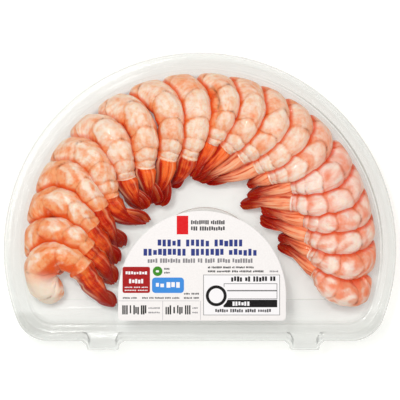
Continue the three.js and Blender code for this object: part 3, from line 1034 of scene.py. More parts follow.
@dataclass
class ShrimpRing:
    """Twenty shrimps round the pack's circle, clockwise from the front left, each on the next.

    Each one's flesh ends at a bearing and a distance. From there the body runs out towards the wall,
    leaning clockwise, and turns back more and more. The tail runs in to its tip. Stations run from 0 at
    the cut head end to 1 where the flesh ends and 2 at the tail tip. Round the body, 0 degrees is the
    back, positive angles are the side that shows, and the belly is at 180.
    """

    places: tuple[Place, ...] = (
        Place(196, 88, 77, 260, 74, 80, 18, 17, 1.7),
        Place(184.5, 83, 50, 165, 59, 72, 18, 13),
        Place(173, 82, 49, 165, 60, 68, 18, 9),
        Place(162, 81, 49, 175, 61.5, 64, 18, 5),
        Place(151.5, 79, 46, 160, 61.5, 46, 4, 14),
        Place(136.5, 79, 35, 146, 59.5, 53, 9, 17),
        Place(124, 76, 34, 143, 62.5, 51, 13, 13),
        Place(110, 74, 30, 143, 64.5, 51, 27, 9),
        Place(97.5, 72, 26, 140, 65.5, 54, 19, 5),
        Place(84.5, 83, 23, 142, 53.5, 56, 13, 19),
        Place(76, 80, 31, 160, 59, 54, 20, 15),
        Place(66.5, 78, 34, 162, 60.5, 53.5, 26, 11),
        Place(56, 77, 30, 155, 61.5, 54, 32, 7),
        Place(46.5, 78.5, 31, 156, 60.5, 61, 7, 14),
        Place(34.5, 87, 28, 140, 48.8, 55, 14, 10),
        Place(27, 80, 34, 160, 59.5, 47, 21, 6),
        Place(16, 85, 26, 142, 51.2, 57, 19, 16),
        Place(8, 84, 27, 145, 52.5, 53, 20, 12),
        Place(-0.5, 87, 32, 140, 49.2, 62, 10, 8),
        Place(-10.5, 92.6, 36, 130, 41.2, 62, 14, 5),
    )
    section_at: tuple[float, ...] = (0, 0.04, 0.24, 0.5, 0.72, 0.9, 1, 1.12, 1.35, 1.65, 2)
    tall: tuple[float, ...] = (10.4, 12.8, 14.1, 13.4, 12, 9.8, 7.8, 7.3, 6.0, 3.7, 0.7)
    wide: tuple[float, ...] = (9.2, 11.2, 12.0, 11.2, 9.8, 8.1, 6.4, 5.9, 4.4, 2.7, 0.5)
    """The body's half height and half width at each section's station."""
    posture_at: tuple[float, ...] = (0, 0.15, 0.4, 0.7, 1, 2)
    height: tuple[float, ...] = (11, 15.5, 25, 28.3, 22.5, 0)
    tilt: tuple[float, ...] = (58, 56, 52, 52, 48, 25)
    belly: tuple[float, ...] = (0.62, 0.62, 0.78, 0.88, 0.88, 0.9)
    """At the posture's stations: the middle line's height, how many degrees the back is raised from lying
    flat, and the belly's depth as a share of the back's."""
    joints_at: tuple[float, ...] = (0.0, 0.14, 0.4, 0.63, 0.8, 0.92, 1.0)
    wall_heights: tuple[float, ...] = (2, 5.4, 14, 31.8, 34.6, 43.2)
    wall_radii: tuple[float, ...] = (127.6, 133.0, 134.6, 135.6, 135.0, 132.8)
    """The inside of the pack's round wall, from the tray's floor up to its roof."""
    wall_give: float = 1.0
    """How far the flesh gives where the wall presses on it."""
    floor: float = 1.0
    floor_give: float = 0.3
    elbow_reach: float = 0.5
    elbow_rise: float = 0.6
    """Where the tail's bend is: how far along to the tip, and how near the flesh's end in height."""
    crevice_depth: float = 3.8
    # """How far from the shrimp above the light between the two is still painted orange."""
    """How far from the shrimp above the light between the two still turns orange."""
    groove_depth: float = 0.032
    swell_height: float = 0.024
    torn_swell: float = 0.02
    """Joints and segments as shares of the body's thickness, and what torn flesh adds to the segments."""
    keel_height: float = 0.5
    lip_height: float = 0.5
    unevenness: tuple[tuple[float, int, int], ...] = (
        (0.35, 7, 2), (0.3, 13, -3), (0.18, 29, 5), (0.14, 41, -4),
    )
    """Waves of the skin: the height of each, and how fast it runs along and round the body."""
    patches: int = 8
    """How many segments, the tail's included, have a paleness of their own."""
    head_hollow: float = 1.6
    tail_hollow: float = 0.4
    end_rings: tuple[tuple[float, float], ...] = ((0.86, 0.5), (0.6, 0.1), (0.3, -0.7))
    """The rings that close an end: each one's size, and how far out it lies, in hollows."""
    around: int = 56
    flesh_steps: int = 110
    tail_steps: int = 40
    fan_at: float = 1.22
    """The station where the tail fan's blades leave the shell."""
    leaves: tuple[tuple[float, float, float, float], ...] = (
        (-19, 0.93, 5.2, -1.9), (18, 0.95, 5.2, -2.0), (-8, 1.0, 5.6, -1.0), (8, 1.0, 5.6, -1.1),
    )
    """The tail fan's blades: how far each turns out, its reach, its half width and how low it lies."""
    leaf_steps: int = 24
    leaf_around: int = 12
    leaf_curl: float = 0.8
    leaf_grain: float = 4.0
    leaf_apart: float = 5.0
    round_grain: float = 8.0
    """Millimetres of the finishes' grain for each radian round the body."""
    grain_apart: float = 40.0
    """Millimetres between the shrimps in the finishes' grain, so that no two look alike."""

    def middle_line(self, place: Place) -> tuple[np.ndarray, np.ndarray]:
        """The middle line from the cut head end to the tail tip.

        Args:
            place: how the shrimp lies.

        Returns:
            The line's points and their stations.
        """
        flesh_end = polar(place.distance, place.bearing)
        share = (np.arange(self.flesh_steps) + 0.5) / self.flesh_steps
        heading = np.radians(place.bearing - place.lean + place.turn * share**place.bend)
        stride = place.body / self.flesh_steps
        run = np.cumsum(np.stack([np.cos(heading), np.sin(heading), 0 * heading], 1) * stride, axis=0)
        flesh = np.concatenate([[flesh_end], flesh_end + run])[::-1]
        at = np.linspace(0, 1, len(flesh))
        flesh[:, 2] = curve_through(at, self.posture_at[:-1], self.height[:-1])
        tip = polar(place.tip_at, place.bearing + place.tip)
        tip[2] = place.tip_z
        flesh_end = flesh[-1]
        # The tail first goes on as the body ran, then turns to its tip.
        reach = self.elbow_reach * float(np.linalg.norm(flesh_end - tip))
        elbow = flesh_end - polar(reach, place.bearing - place.lean)
        elbow[2] = self.elbow_rise * flesh_end[2] + (1 - self.elbow_rise) * place.tip_z
        t = np.linspace(0, 1, self.tail_steps + 1)[1:, None]
        tail = (1 - t) ** 2 * flesh_end + 2 * t * (1 - t) * elbow + t**2 * tip
        return np.concatenate([flesh, tail]), np.concatenate([at, 1 + t[:, 0]])

    def axes(self, line: np.ndarray, at: np.ndarray) -> tuple[np.ndarray, np.ndarray, np.ndarray]:
        """The directions of a body at each point of its middle line.

        Args:
            line: the line's points.
            at: their stations.

        Returns:
            The forward, back and side directions.
        """
        forward = unit(np.gradient(line, axis=0))
        raised = np.radians(np.interp(at, self.posture_at, self.tilt))
        flat = unit(np.stack([-forward[:, 1], forward[:, 0], 0 * at], 1))
        back = flat * np.cos(raised)[:, None]
        back[:, 2] = np.sin(raised)
        back = unit(back - forward * np.sum(back * forward, 1, keepdims=True))
        return forward, back, np.cross(forward, back)

    def against_wall(self, points: np.ndarray) -> np.ndarray:
        """Flattens what would pass through the pack's wall or floor, which press on the flesh.

        Args:
            points: points of a shrimp.

        Returns:
            The points, moved in and up where they have to be.
        """
        give = self.wall_give
        limit = np.interp(points[..., 2], self.wall_heights, self.wall_radii) - give
        out = np.hypot(points[..., 0], points[..., 1])
        pressed = limit + give * (1 - np.exp(-np.maximum(out - limit, 0) / give))
        scale = np.where(out > limit, pressed / np.maximum(out, 1.0), 1.0)
        flat = points * np.stack([scale, scale, np.ones_like(scale)], -1)
        resting = self.floor + self.floor_give * np.exp(np.minimum(flat[..., 2] - self.floor, 0))
        flat[..., 2] = np.maximum(flat[..., 2], resting)
        return flat

    def nearness(self, points: np.ndarray, neighbour: KDTree | None) -> np.ndarray:
        """How close each point lies to the shrimp above it.

        Args:
            points: the body's points.
            neighbour: the points of the shrimp above, if any.

        Returns:
            Values from 0 well clear to 1 where they touch.
        """
        if neighbour is None:
            return np.zeros(points.shape[:-1])
        distance = np.array([neighbour.find(point)[2] for point in points.reshape(-1, 3).tolist()])
        distance = distance.reshape(points.shape[:-1])
        return 1 - smooth_step(distance, 0.35 * self.crevice_depth, self.crevice_depth)

    def lay_out(self, place: Place, character: Character, dice: random.Random) -> Body:
        """Lays out the body's rings of points before they get their shape.

        Each segment's front edge is a hood that reaches towards the head on the side that shows.

        Args:
            place: how the shrimp lies.
            character: how it differs from the others.
            dice: the shrimp's own chances.

        Returns:
            The body.
        """
        line, at = self.middle_line(place)
        degrees = np.linspace(0, 360, self.around, endpoint=False)[None, :]
        flank = (degrees + 150) % 360 - 150 + 0 * at[:, None]
        station = at[:, None] + 0 * degrees
        wave = [dice.uniform(0, 6.28) for _ in range(8)]
        even = np.interp(station, self.joints_at, range(len(self.joints_at)))
        uneven = 0.05 * np.sin(np.radians(2 * flank) + wave[6])
        uneven = uneven + 0.03 * np.sin(np.radians(5 * flank) + wave[7])
        phase = even + character.hood * hump(flank, 32, 52) + uneven * smooth_step(station, 0.05, 0.2)
        cut_at = character.cut_at + 4 * np.sin(9 * station + wave[4]) + 1.5 * np.sin(37 * station + wave[5])
        ragged = flank - cut_at
        return Body(line, at, station, flank, phase, ragged, wave)

    def body_points(self, body: Body, character: Character) -> np.ndarray:
        """Shapes the body: segments with grooves, a keeled shell, the vein's slit and its own unevenness.

        Args:
            body: the body's layout.
            character: how the shrimp differs from the others.

        Returns:
            Its points, a row for each ring.
        """
        station, wave, start = body.station, body.wave, character.shell_from
        angle = np.linspace(0, 2 * np.pi, self.around, endpoint=False)[None, :]
        on_flesh = smooth_step(station, 0.02, 0.08) * (1 - smooth_step(station, 0.95, 1.0))
        groove = hump(body.gap, 0, 0.06) * on_flesh
        swell = (np.sin(np.pi * body.within**0.8) ** 0.8 - 0.6) * on_flesh
        swell = swell * (1 + 1.2 * smooth_step(station, 0.7, 0.9))
        grow = 1 - self.groove_depth * groove + (self.swell_height + self.torn_swell * character.torn) * swell
        wobble = sum(
            size * np.sin(along * station + round_it * angle + shift)
            for (size, along, round_it), shift in zip(self.unevenness, wave)
        )
        wobble = wobble * (1 + 0.9 * character.torn) * (1 - smooth_step(station, 0.9, 1.1))
        slit = hump(body.ragged, 0, 5 + 2 * character.cut_depth)
        slit = slit * smooth_step(station, 0.02, 0.1) * (1 - smooth_step(station, 0.66, 0.8))
        # The shell is keeled along its back, and its front rim stands proud of the flesh.
        on_shell = smooth_step(station, start, start + 0.06) * (1 - smooth_step(station, 1.5, 2.0))
        keel = self.keel_height * hump(body.flank, 0, 20) * on_shell
        lip = self.lip_height * hump(station, start, 0.02)
        radial = wobble + keel + lip - character.cut_depth * slit

        belly = np.interp(body.at, self.posture_at, self.belly)[:, None]
        if character.glassy_head:
            belly = belly + 1.1 * (1 - smooth_step(station, 0.2, 0.62))
        # The left ones' shells are broad and lie flat, so their tails cover each other.
        on_tail = smooth_step(station, start - 0.08, 1.15) * (1 - smooth_step(station, 1.6, 2.0))
        wider = 1 + (character.shell_width - 1) * on_tail
        tall = curve_through(body.at, self.section_at, self.tall)[:, None]
        tall = tall * np.where(np.cos(angle) < 0, belly, 1.0)
        wide = curve_through(body.at, self.section_at, self.wide)[:, None]
        high = (tall * wider * grow + radial) * np.cos(angle)
        broad = (wide * wider * grow + radial) * np.sin(angle)
        _, back, side = self.axes(body.line, body.at)
        back, side = back[:, None, :], side[:, None, :]
        return self.against_wall(body.line[:, None, :] + back * high[..., None] + side * broad[..., None])

    def flesh_values(self, body: Body, character: Character, dice: random.Random) -> dict[str, np.ndarray]:
        """Where the flesh is pale, deep orange, creased, veined and glassy.

        Args:
            body: the body's layout.
            character: how the shrimp differs from the others.
            dice: the shrimp's own chances.

        Returns:
            Values from 0 to 1 for the finishes, by name.
        """
        station, flank, within, gap, wave = body.station, body.flank, body.within, body.gap, body.wave
        segment = np.floor(body.phase).astype(int).clip(0, self.patches - 1)
        end, torn = character.shell_from, character.torn
        on_flesh = smooth_step(station, 0.02, 0.08) * (1 - smooth_step(station, end - 0.03, end))
        strength = np.array([dice.uniform(0.64, 1.0) for _ in range(self.patches)])[segment]
        shift = np.array([dice.uniform(-12, 10) for _ in range(self.patches)])[segment]
        # A lobe bulges towards the belly between two joints, and its back edge is thin skin again.
        reach = character.lobe_reach + shift + 20 * (np.sin(np.pi * within) - 0.6)
        lobe = (1 - smooth_step(flank, reach - 20, reach + 16)) * smooth_step(flank, -88, -54)
        crown = smooth_step(within, 0.02, 0.14) * (1 - 0.85 * smooth_step(within, 0.4, 1.0))
        from_head = character.head_pale + (1 - character.head_pale) * smooth_step(station, 0.12, 0.45)
        pale = lobe * (0.56 + 0.44 * crown) * strength * character.pallor * from_head
        # Rough handling has rubbed the pale muscle through in patches and left skin in others.
        patch = np.sin(23 * station + wave[0] + 2 * np.sin(np.radians(3 * flank) + wave[1]))
        patch = patch * np.sin(np.radians(4 * flank) + wave[2] + 2 * np.sin(11 * station + wave[3]))
        pale = pale * (1 - torn * smooth_step(patch, 0.0, 0.6)) + 0.5 * torn * smooth_step(-patch, 0.3, 0.9)
        # The flesh ends in a thin white rim under the shell.
        pale = pale * (1 - (1 - min(character.collar, 1.0)) * smooth_step(station, end - 0.14, end - 0.04))
        pale = np.maximum(pale, character.collar * hump(station, end - 0.012, 0.012) * (flank < reach + 30))
        belly = smooth_step(flank, reach - 2, reach + 40) + 0.7 * smooth_step(-flank, 66, 92)
        uneven = 0.5 + 0.5 * np.sin(np.radians(2.3 * flank) + 1.7 * segment + wave[4])
        joint = hump(gap, 0, 0.03) * on_flesh * np.clip(uneven, 0.1, 1) * 0.5
        veined = (np.array([dice.random() for _ in range(self.patches)]) > 0.6)[segment]
        vein = hump(flank, 6, 9) * hump(gap, 0, 0.05) * on_flesh * veined * 0.6
        if character.cut_depth > 1:
            opened = smooth_step(station, 0.2, 0.3) * (1 - smooth_step(station, 0.5, 0.62))
            vein = np.maximum(vein, 0.75 * hump(body.ragged, 0, 3.5) * opened)
        glassy = 0.85 * character.glassy_head * (1 - smooth_step(station, 0.2, 0.42)) * on_flesh
        return {"pale": pale, "belly": belly, "joint": joint, "vein": vein, "glassy": glassy}

    def shell_values(self, body: Body, character: Character, pale: np.ndarray) -> dict[str, np.ndarray]:
        """Where the tail shell has painted highlights on its folds, and where it is dark and pink.

        Args:
            body: the body's layout.
            character: how the shrimp differs from the others.
            pale: how pale the flesh is.

        Returns:
            Values from 0 to 1 for the finishes, by name, which keep the flesh's where there is no shell.
        """
        station, flank, start = body.station, body.flank, character.shell_from
        shelled = station > start
        # The folds get painted highlights.
        folds = hump(flank, -34, 9) + 0.8 * hump(flank, 98, 10) + 0.4 * hump(flank, 12, 5)
        # The shell is darker low on its sides than along its back.
        near_rim = 1 - 0.6 * smooth_step(start + 0.1 - station, 0, 0.1)
        sides = character.side_dark * smooth_step(np.abs(flank - 22), 26, 62) * near_rim
        darkened = np.maximum(smooth_step(station, start + 0.12, start + 0.85), sides)
        pink = character.shell_blush * (1 - smooth_step(station, 1.25, 1.8)) * (1 - sides)
        return {
            "pale": np.where(shelled, folds * (1 - smooth_step(station, 1.3, 1.7)), pale),
            "fan": np.maximum(darkened, character.shell_dark),
            "blush": np.where(shelled, pink, character.blush),
        }

    def add_body(
        self, surface: Surface, body: Body, character: Character, dice: random.Random, number: int,
        neighbour: KDTree | None,
    ) -> KDTree:
        """Adds the body, from the cut head end through the tail shell to the fan's middle spike.

        Args:
            surface: where it goes.
            body: the body's layout.
            character: how the shrimp differs from the others.
            dice: the shrimp's own chances.
            number: the shrimp's number, from 1.
            neighbour: the points of the shrimp that lies on this one, if any.

        Returns:
            The body's own points, for the shrimp under it.
        """
        points = self.body_points(body, character)
        values = self.flesh_values(body, character, dice)
        values |= self.shell_values(body, character, values["pale"])
        # Painted orange light where this shrimp lies close under the one above it.
        values["crevice"] = character.contact * self.nearness(points, neighbour)
        values = {name: (value + 0 * body.station).reshape(-1) for name, value in values.items()}
        strides = np.linalg.norm(np.diff(body.line, axis=0), axis=1)
        length = np.concatenate([[0], np.cumsum(strides)])[:, None] + 0 * body.station
        round_it = np.radians(body.flank % 360) * self.round_grain
        grain = np.stack([length, round_it, self.grain_apart * number + 0 * body.station], -1)

        forward, _, _ = self.axes(body.line, body.at)
        rows, around = len(body.at), self.around
        faces = skin(rows, around)
        begin = surface.count
        surface.add(points.reshape(-1, 3), faces, grain=grain.reshape(-1, 3), **values)
        # The shell's look starts just before its rim.
        shell_row = int(np.searchsorted(body.at, character.shell_from - 0.005))
        surface.looks[-len(faces):] = [int(face[0] // around >= shell_row) for face in faces]
        last = begin + (rows - 1) * around
        self.close_end(surface, points[0], -forward[0], begin, True, values, grain[0])
        self.close_end(surface, points[-1], forward[-1], last, False, values, grain[-1])
        tree = KDTree(points.size // 3)
        for index, point in enumerate(points.reshape(-1, 3).tolist()):
            tree.insert(point, index)
        tree.balance()
        return tree

    def close_end(
        self, surface: Surface, rim: np.ndarray, outward: np.ndarray, start: int, is_head: bool,
        values: dict[str, np.ndarray], grain: np.ndarray,
    ) -> None:
        """Closes an end of the body with a slightly hollow face.

        Args:
            surface: where it goes.
            rim: the body's last ring of points.
            outward: the direction out of that end.
            start: the index of the ring's first point.
            is_head: whether it is the cut head end, of bare flesh.
            values: the body's values, of which the first are the head end's.
            grain: the ring's texture places.
        """
        count, centre = len(rim), rim.mean(0)
        hollow = self.head_hollow if is_head else self.tail_hollow
        rings = [centre + (rim - centre) * scale + outward * lift * hollow for scale, lift in self.end_rings]
        added = np.concatenate([*rings, [centre - outward * hollow]])
        base = surface.count
        starts = [start, base, base + count, base + 2 * count]
        faces = []
        for i in range(count):
            j = (i + 1) % count
            faces += [(low + i, low + j, high + j, high + i) for low, high in zip(starts, starts[1:])]
            faces.append((starts[-1] + i, starts[-1] + j, base + 3 * count))
        if is_head:
            faces = [face[::-1] for face in faces]
        plain = {name: np.zeros(len(added)) for name in values}
        plain["blush"] += values["blush"][0 if is_head else -1]
        if is_head:
            plain["pale"] += 0.5
            plain["glassy"] += values["glassy"].max()
        else:
            plain["fan"] += 0.6
        local = [tuple(v - base for v in face) for face in faces]
        grains = np.concatenate([np.tile(grain, (len(rings), 1)), grain[:1]])
        surface.add(added, local, 0 if is_head else 1, grain=grains, **plain)

    def add_fan(
        self, surface: Surface, body: Body, character: Character, dice: random.Random, number: int
    ) -> None:
        """Adds the tail fan: two blades on each side of the shell's middle spike, each a thin ribbed leaf.

        Args:
            surface: where it goes.
            body: the body's layout.
            character: how the shrimp differs from the others.
            dice: the shrimp's own chances.
            number: the shrimp's number, from 1.
        """
        line, at = body.line, body.at
        root = int(np.searchsorted(at, self.fan_at))
        ahead, back, side = (axis[root] for axis in self.axes(line, at))
        length = float(np.linalg.norm(np.diff(line[root:], axis=0), axis=1).sum())
        spread = character.fan_spread * dice.uniform(0.85, 1.05)
        tone = character.fan_tone + dice.uniform(-0.1, 0.1)
        steps, ring = self.leaf_steps, self.leaf_around
        count = steps * ring
        share = np.linspace(0, 1, steps)
        theta = np.linspace(0, 2 * np.pi, ring, endpoint=False)
        rib = 0.35 * hump(np.cos(theta), 0, 0.35) * np.sign(np.sin(theta))
        # A blade widens to its last third and ends round, or in a point where it is folded.
        slim = 0.6 if character.fan_round > 0.8 else 0.74
        rounding = np.clip(1 - (np.clip(share - slim, 0, 1) / (1 - slim)) ** 2, 0, 1) ** character.fan_round
        widening = character.fan_width * (0.3 + 0.7 * smooth_step(share, 0.0, 0.6)) * rounding
        thick = 0.55 * (1 - 0.6 * share) + 0.12
        edge = np.tile(0.4 * hump(np.abs(np.cos(theta)), 1, 0.12), steps)
        redden = smooth_step(share, character.fan_from, character.fan_from + 0.45)
        values = {name: np.zeros(count) for name in ("belly", "joint", "vein", "glassy", "crevice")}
        values["pale"] = edge * np.repeat(1 - smooth_step(share, 0.3, 0.8), ring)
        values["fan"] = np.repeat(tone + 0.2 + 0.8 * redden, ring)
        values["blush"] = np.repeat(character.shell_blush * (1 - smooth_step(share, 0.1, 0.7)), ring)
        for blade, (turn, reach, half, low) in enumerate(self.leaves):
            angle = math.radians(turn * spread + dice.uniform(-2, 2))
            towards = unit(ahead * math.cos(angle) + back * math.sin(angle))
            run = share * length * reach
            path_at = np.interp(share * reach, np.linspace(0, 1, len(at) - root), at[root:])
            centre = np.stack([np.interp(path_at, at, line[:, k]) for k in range(3)], 1)
            aside, down = np.sin(angle) * run, low + self.leaf_curl * share**2
            centre = centre + back * aside[:, None] + side * down[:, None]
            across = unit(back - towards * float(back @ towards))
            up = np.cross(towards, across)
            points = (
                centre[:, None, :]
                + across * ((half * widening + 0.1)[:, None] * np.cos(theta))[..., None]
                + up * (thick[:, None] * (np.sin(theta) + rib))[..., None]
            )
            across_grain = np.tile(np.cos(theta) * self.leaf_grain, steps)
            apart = np.full(count, self.grain_apart * number + self.leaf_apart * blade)
            grain = np.stack([np.repeat(run, ring), across_grain, apart], 1)
            points = self.against_wall(points).reshape(-1, 3)
            surface.add(points, capped(steps, ring), 1, grain=grain, **values)

    def build(self, book: FinishBook) -> None:
        """Builds all shrimps and dresses them.

        Args:
            book: the finishes.
        """
        materials = [book[Finish.FLESH], book[Finish.SHELL]]
        neighbour = None
        for number, place in enumerate(self.places, 1):
            dice = random.Random(100 + number)
            character = Character.of(number, dice)
            surface = Surface()
            body = self.lay_out(place, character, dice)
            neighbour = self.add_body(surface, body, character, dice, number, neighbour)
            self.add_fan(surface, body, character, dice, number)
            name = f"shrimp_{number:02d}"
            surface.piece(f"{name}_flesh_and_tail", materials, "cooked_shrimp", name)


# ---- Sauce pot ----


@dataclass
class SaucePot:
    """A round milky pot of sauce under a clear film, which stands on the tray's floor under the label."""

    x: float = 3.4
    y: float = -10.7
    flange: float = 42.6
    mouth: float = 36.5
    base: float = 29.0
    rim_z: float = 41.4
    wall: float = 0.8
    floor: float = 1.1
    level: float = 35.0
    clearance: float = 0.6
    sauce_ripple: float = 0.22
    film_ripple: float = 0.03
    turns: int = 120

    def turned(
        self, name: str, profile: Sequence[tuple[float, float]], material: bpy.types.Material, slot: str,
        ripple: float = 0.0,
    ) -> None:
        """Makes a solid of revolution through a profile that starts and ends on the axis.

        Args:
            name: the CAD node it stands for.
            profile: radius and height pairs.
            material: its finish.
            slot: the record's material slot, passed on but not used.
            ripple: how much its surface waves, in millimetres.
        """
        angle = np.linspace(0, 2 * np.pi, self.turns, endpoint=False)
        rings = []
        for radius, z in profile[1:-1]:
            x, y = self.x + radius * np.cos(angle), self.y + radius * np.sin(angle)
            wave = np.sin(3 * angle + radius * 0.5) + 0.6 * np.sin(7 * angle - radius * 0.3)
            rings.append(np.stack([x, y, z + ripple * wave * min(1.0, radius / 8)], 1))
        ends = np.array([[self.x, self.y, profile[0][1]], [self.x, self.y, profile[-1][1]]])
        count, rows = self.turns, len(rings)
        last, centre = (rows - 1) * count, rows * count
        faces = skin(rows, count)
        faces += [(centre, (i + 1) % count, i) for i in range(count)]
        faces += [(centre + 1, last + i, last + (i + 1) % count) for i in range(count)]
        surface = Surface()
        clear = np.zeros(centre + len(ends))
        surface.add(np.concatenate([*rings, ends]), faces, haze=clear, bend=clear)
        surface.piece(f"{name}_turned", [material], slot, name)

    def inside(self, z: float) -> float:
        """The sauce's radius at a height, just clear of the wall."""
        heights, radii = [self.floor + self.wall, self.rim_z], [self.base - self.wall, self.mouth]
        return float(np.interp(z, heights, radii)) - self.clearance

    def build(self, book: FinishBook) -> None:
        """Builds the pot, its sauce and its film.

        Args:
            book: the finishes.
        """
        low, top, wall = self.floor, self.rim_z, self.wall
        base, mouth, flange = self.base, self.mouth, self.flange
        self.turned("sauce_pot", [
            (0, low), (12, low), (base - 2.2, low), (base - 0.9, low + 0.2), (base, low + 1.4),
            (0.5 * (base + mouth + wall), 0.5 * (low + top - 1.6)), (mouth + wall, top - 2.2),
            (mouth + wall + 0.3, top - 1.7), (flange - 1.0, top - 1.6), (flange - 0.7, top - 2.3),
            (flange - 0.2, top - 2.3), (flange, top - 1.1), (flange - 0.4, top - 0.35), (flange - 1.2, top),
            (mouth + 1.0, top), (mouth + 0.3, top - 0.3), (mouth, top - 1.2), (base - wall + 1.0, low + 6),
            (base - wall, low + wall + 0.8), (base - wall - 1.4, low + wall), (12, low + wall),
            (0, low + wall),
        ], book[Finish.POT], "pot_plastic")
        level, brim = self.level, self.inside(self.level)
        self.turned("sauce", [
            (0, low + 1.2), (14, low + 1.2), (self.inside(low + 1.2) - 0.8, low + 1.2),
            (self.inside(low + 2.2), low + 2.4), (brim, level - 0.9), (brim - 0.7, level - 0.35),
            (30, level - 0.4), (20, level - 0.3), (10, level - 0.35), (0, level - 0.3),
        ], book[Finish.SAUCE], "sauce", self.sauce_ripple)
        self.turned("sauce_seal", [
            (0, top + 0.12), (20, top + 0.12), (flange - 0.5, top + 0.12), (flange - 0.4, top + 0.22),
            (flange - 0.6, top + 0.34), (30, top + 0.34), (15, top + 0.34), (0, top + 0.34),
        ], book[Finish.SEAL], "seal_film", self.film_ripple)


# ---- Label ----


@dataclass(frozen=True)
class Block:
    """A printed rectangle: its corners in millimetres, its ink, its corner rounding and its layer."""

    left: float
    bottom: float
    right: float
    top: float
    ink: Ink
    corner: float = 0.0
    layer: int = 0

    def plan(self) -> np.ndarray:
        """The block's outline, counter-clockwise, with its corners rounded."""
        left, bottom, right, top, r = self.left, self.bottom, self.right, self.top, self.corner
        if r <= 0:
            return np.array([[left, bottom], [right, bottom], [right, top], [left, top]])
        centres = [(right - r, top - r), (left + r, top - r), (left + r, bottom + r), (right - r, bottom + r)]
        parts = []
        for quarter, (x, y) in enumerate(centres):
            turn = np.linspace(quarter * np.pi / 2, (quarter + 1) * np.pi / 2, 8)
            parts.append(np.stack([x + r * np.cos(turn), y + r * np.sin(turn)], 1))
        return np.concatenate(parts)


@dataclass(frozen=True)
class Line:
    """A printed line of small upright blocks, grouped as words are.

    It holds where the line starts and ends, its lower edge, the blocks' height and ink, how many blocks
    are in each group, and the layer they lie on.
    """

    left: float
    right: float
    bottom: float
    height: float
    ink: Ink
    words: tuple[int, ...]
    layer: int = 0
    SPACE: ClassVar[float] = 0.8
    """The gap between two groups, in blocks."""

    def blocks(self) -> list[Block]:
        """The line's blocks, which differ a little in width, and some of which hang lower or end lower."""
        pitch = (self.right - self.left) / (sum(self.words) + self.SPACE * (len(self.words) - 1))
        dice = random.Random(int(1000 * (self.left + 7 * self.bottom)) & 0xFFFF)
        blocks, at = [], self.left
        for count in self.words:
            for _ in range(count):
                low = self.bottom + (0 if dice.random() < 0.7 else 0.12 * self.height)
                top = self.bottom + self.height * (1 if dice.random() < 0.75 else 0.82)
                end = at + pitch * dice.uniform(0.72, 0.88)
                blocks.append(Block(at + 0.08 * pitch, low, end, top, self.ink, layer=self.layer))
                at += pitch
            at += self.SPACE * pitch
        return blocks


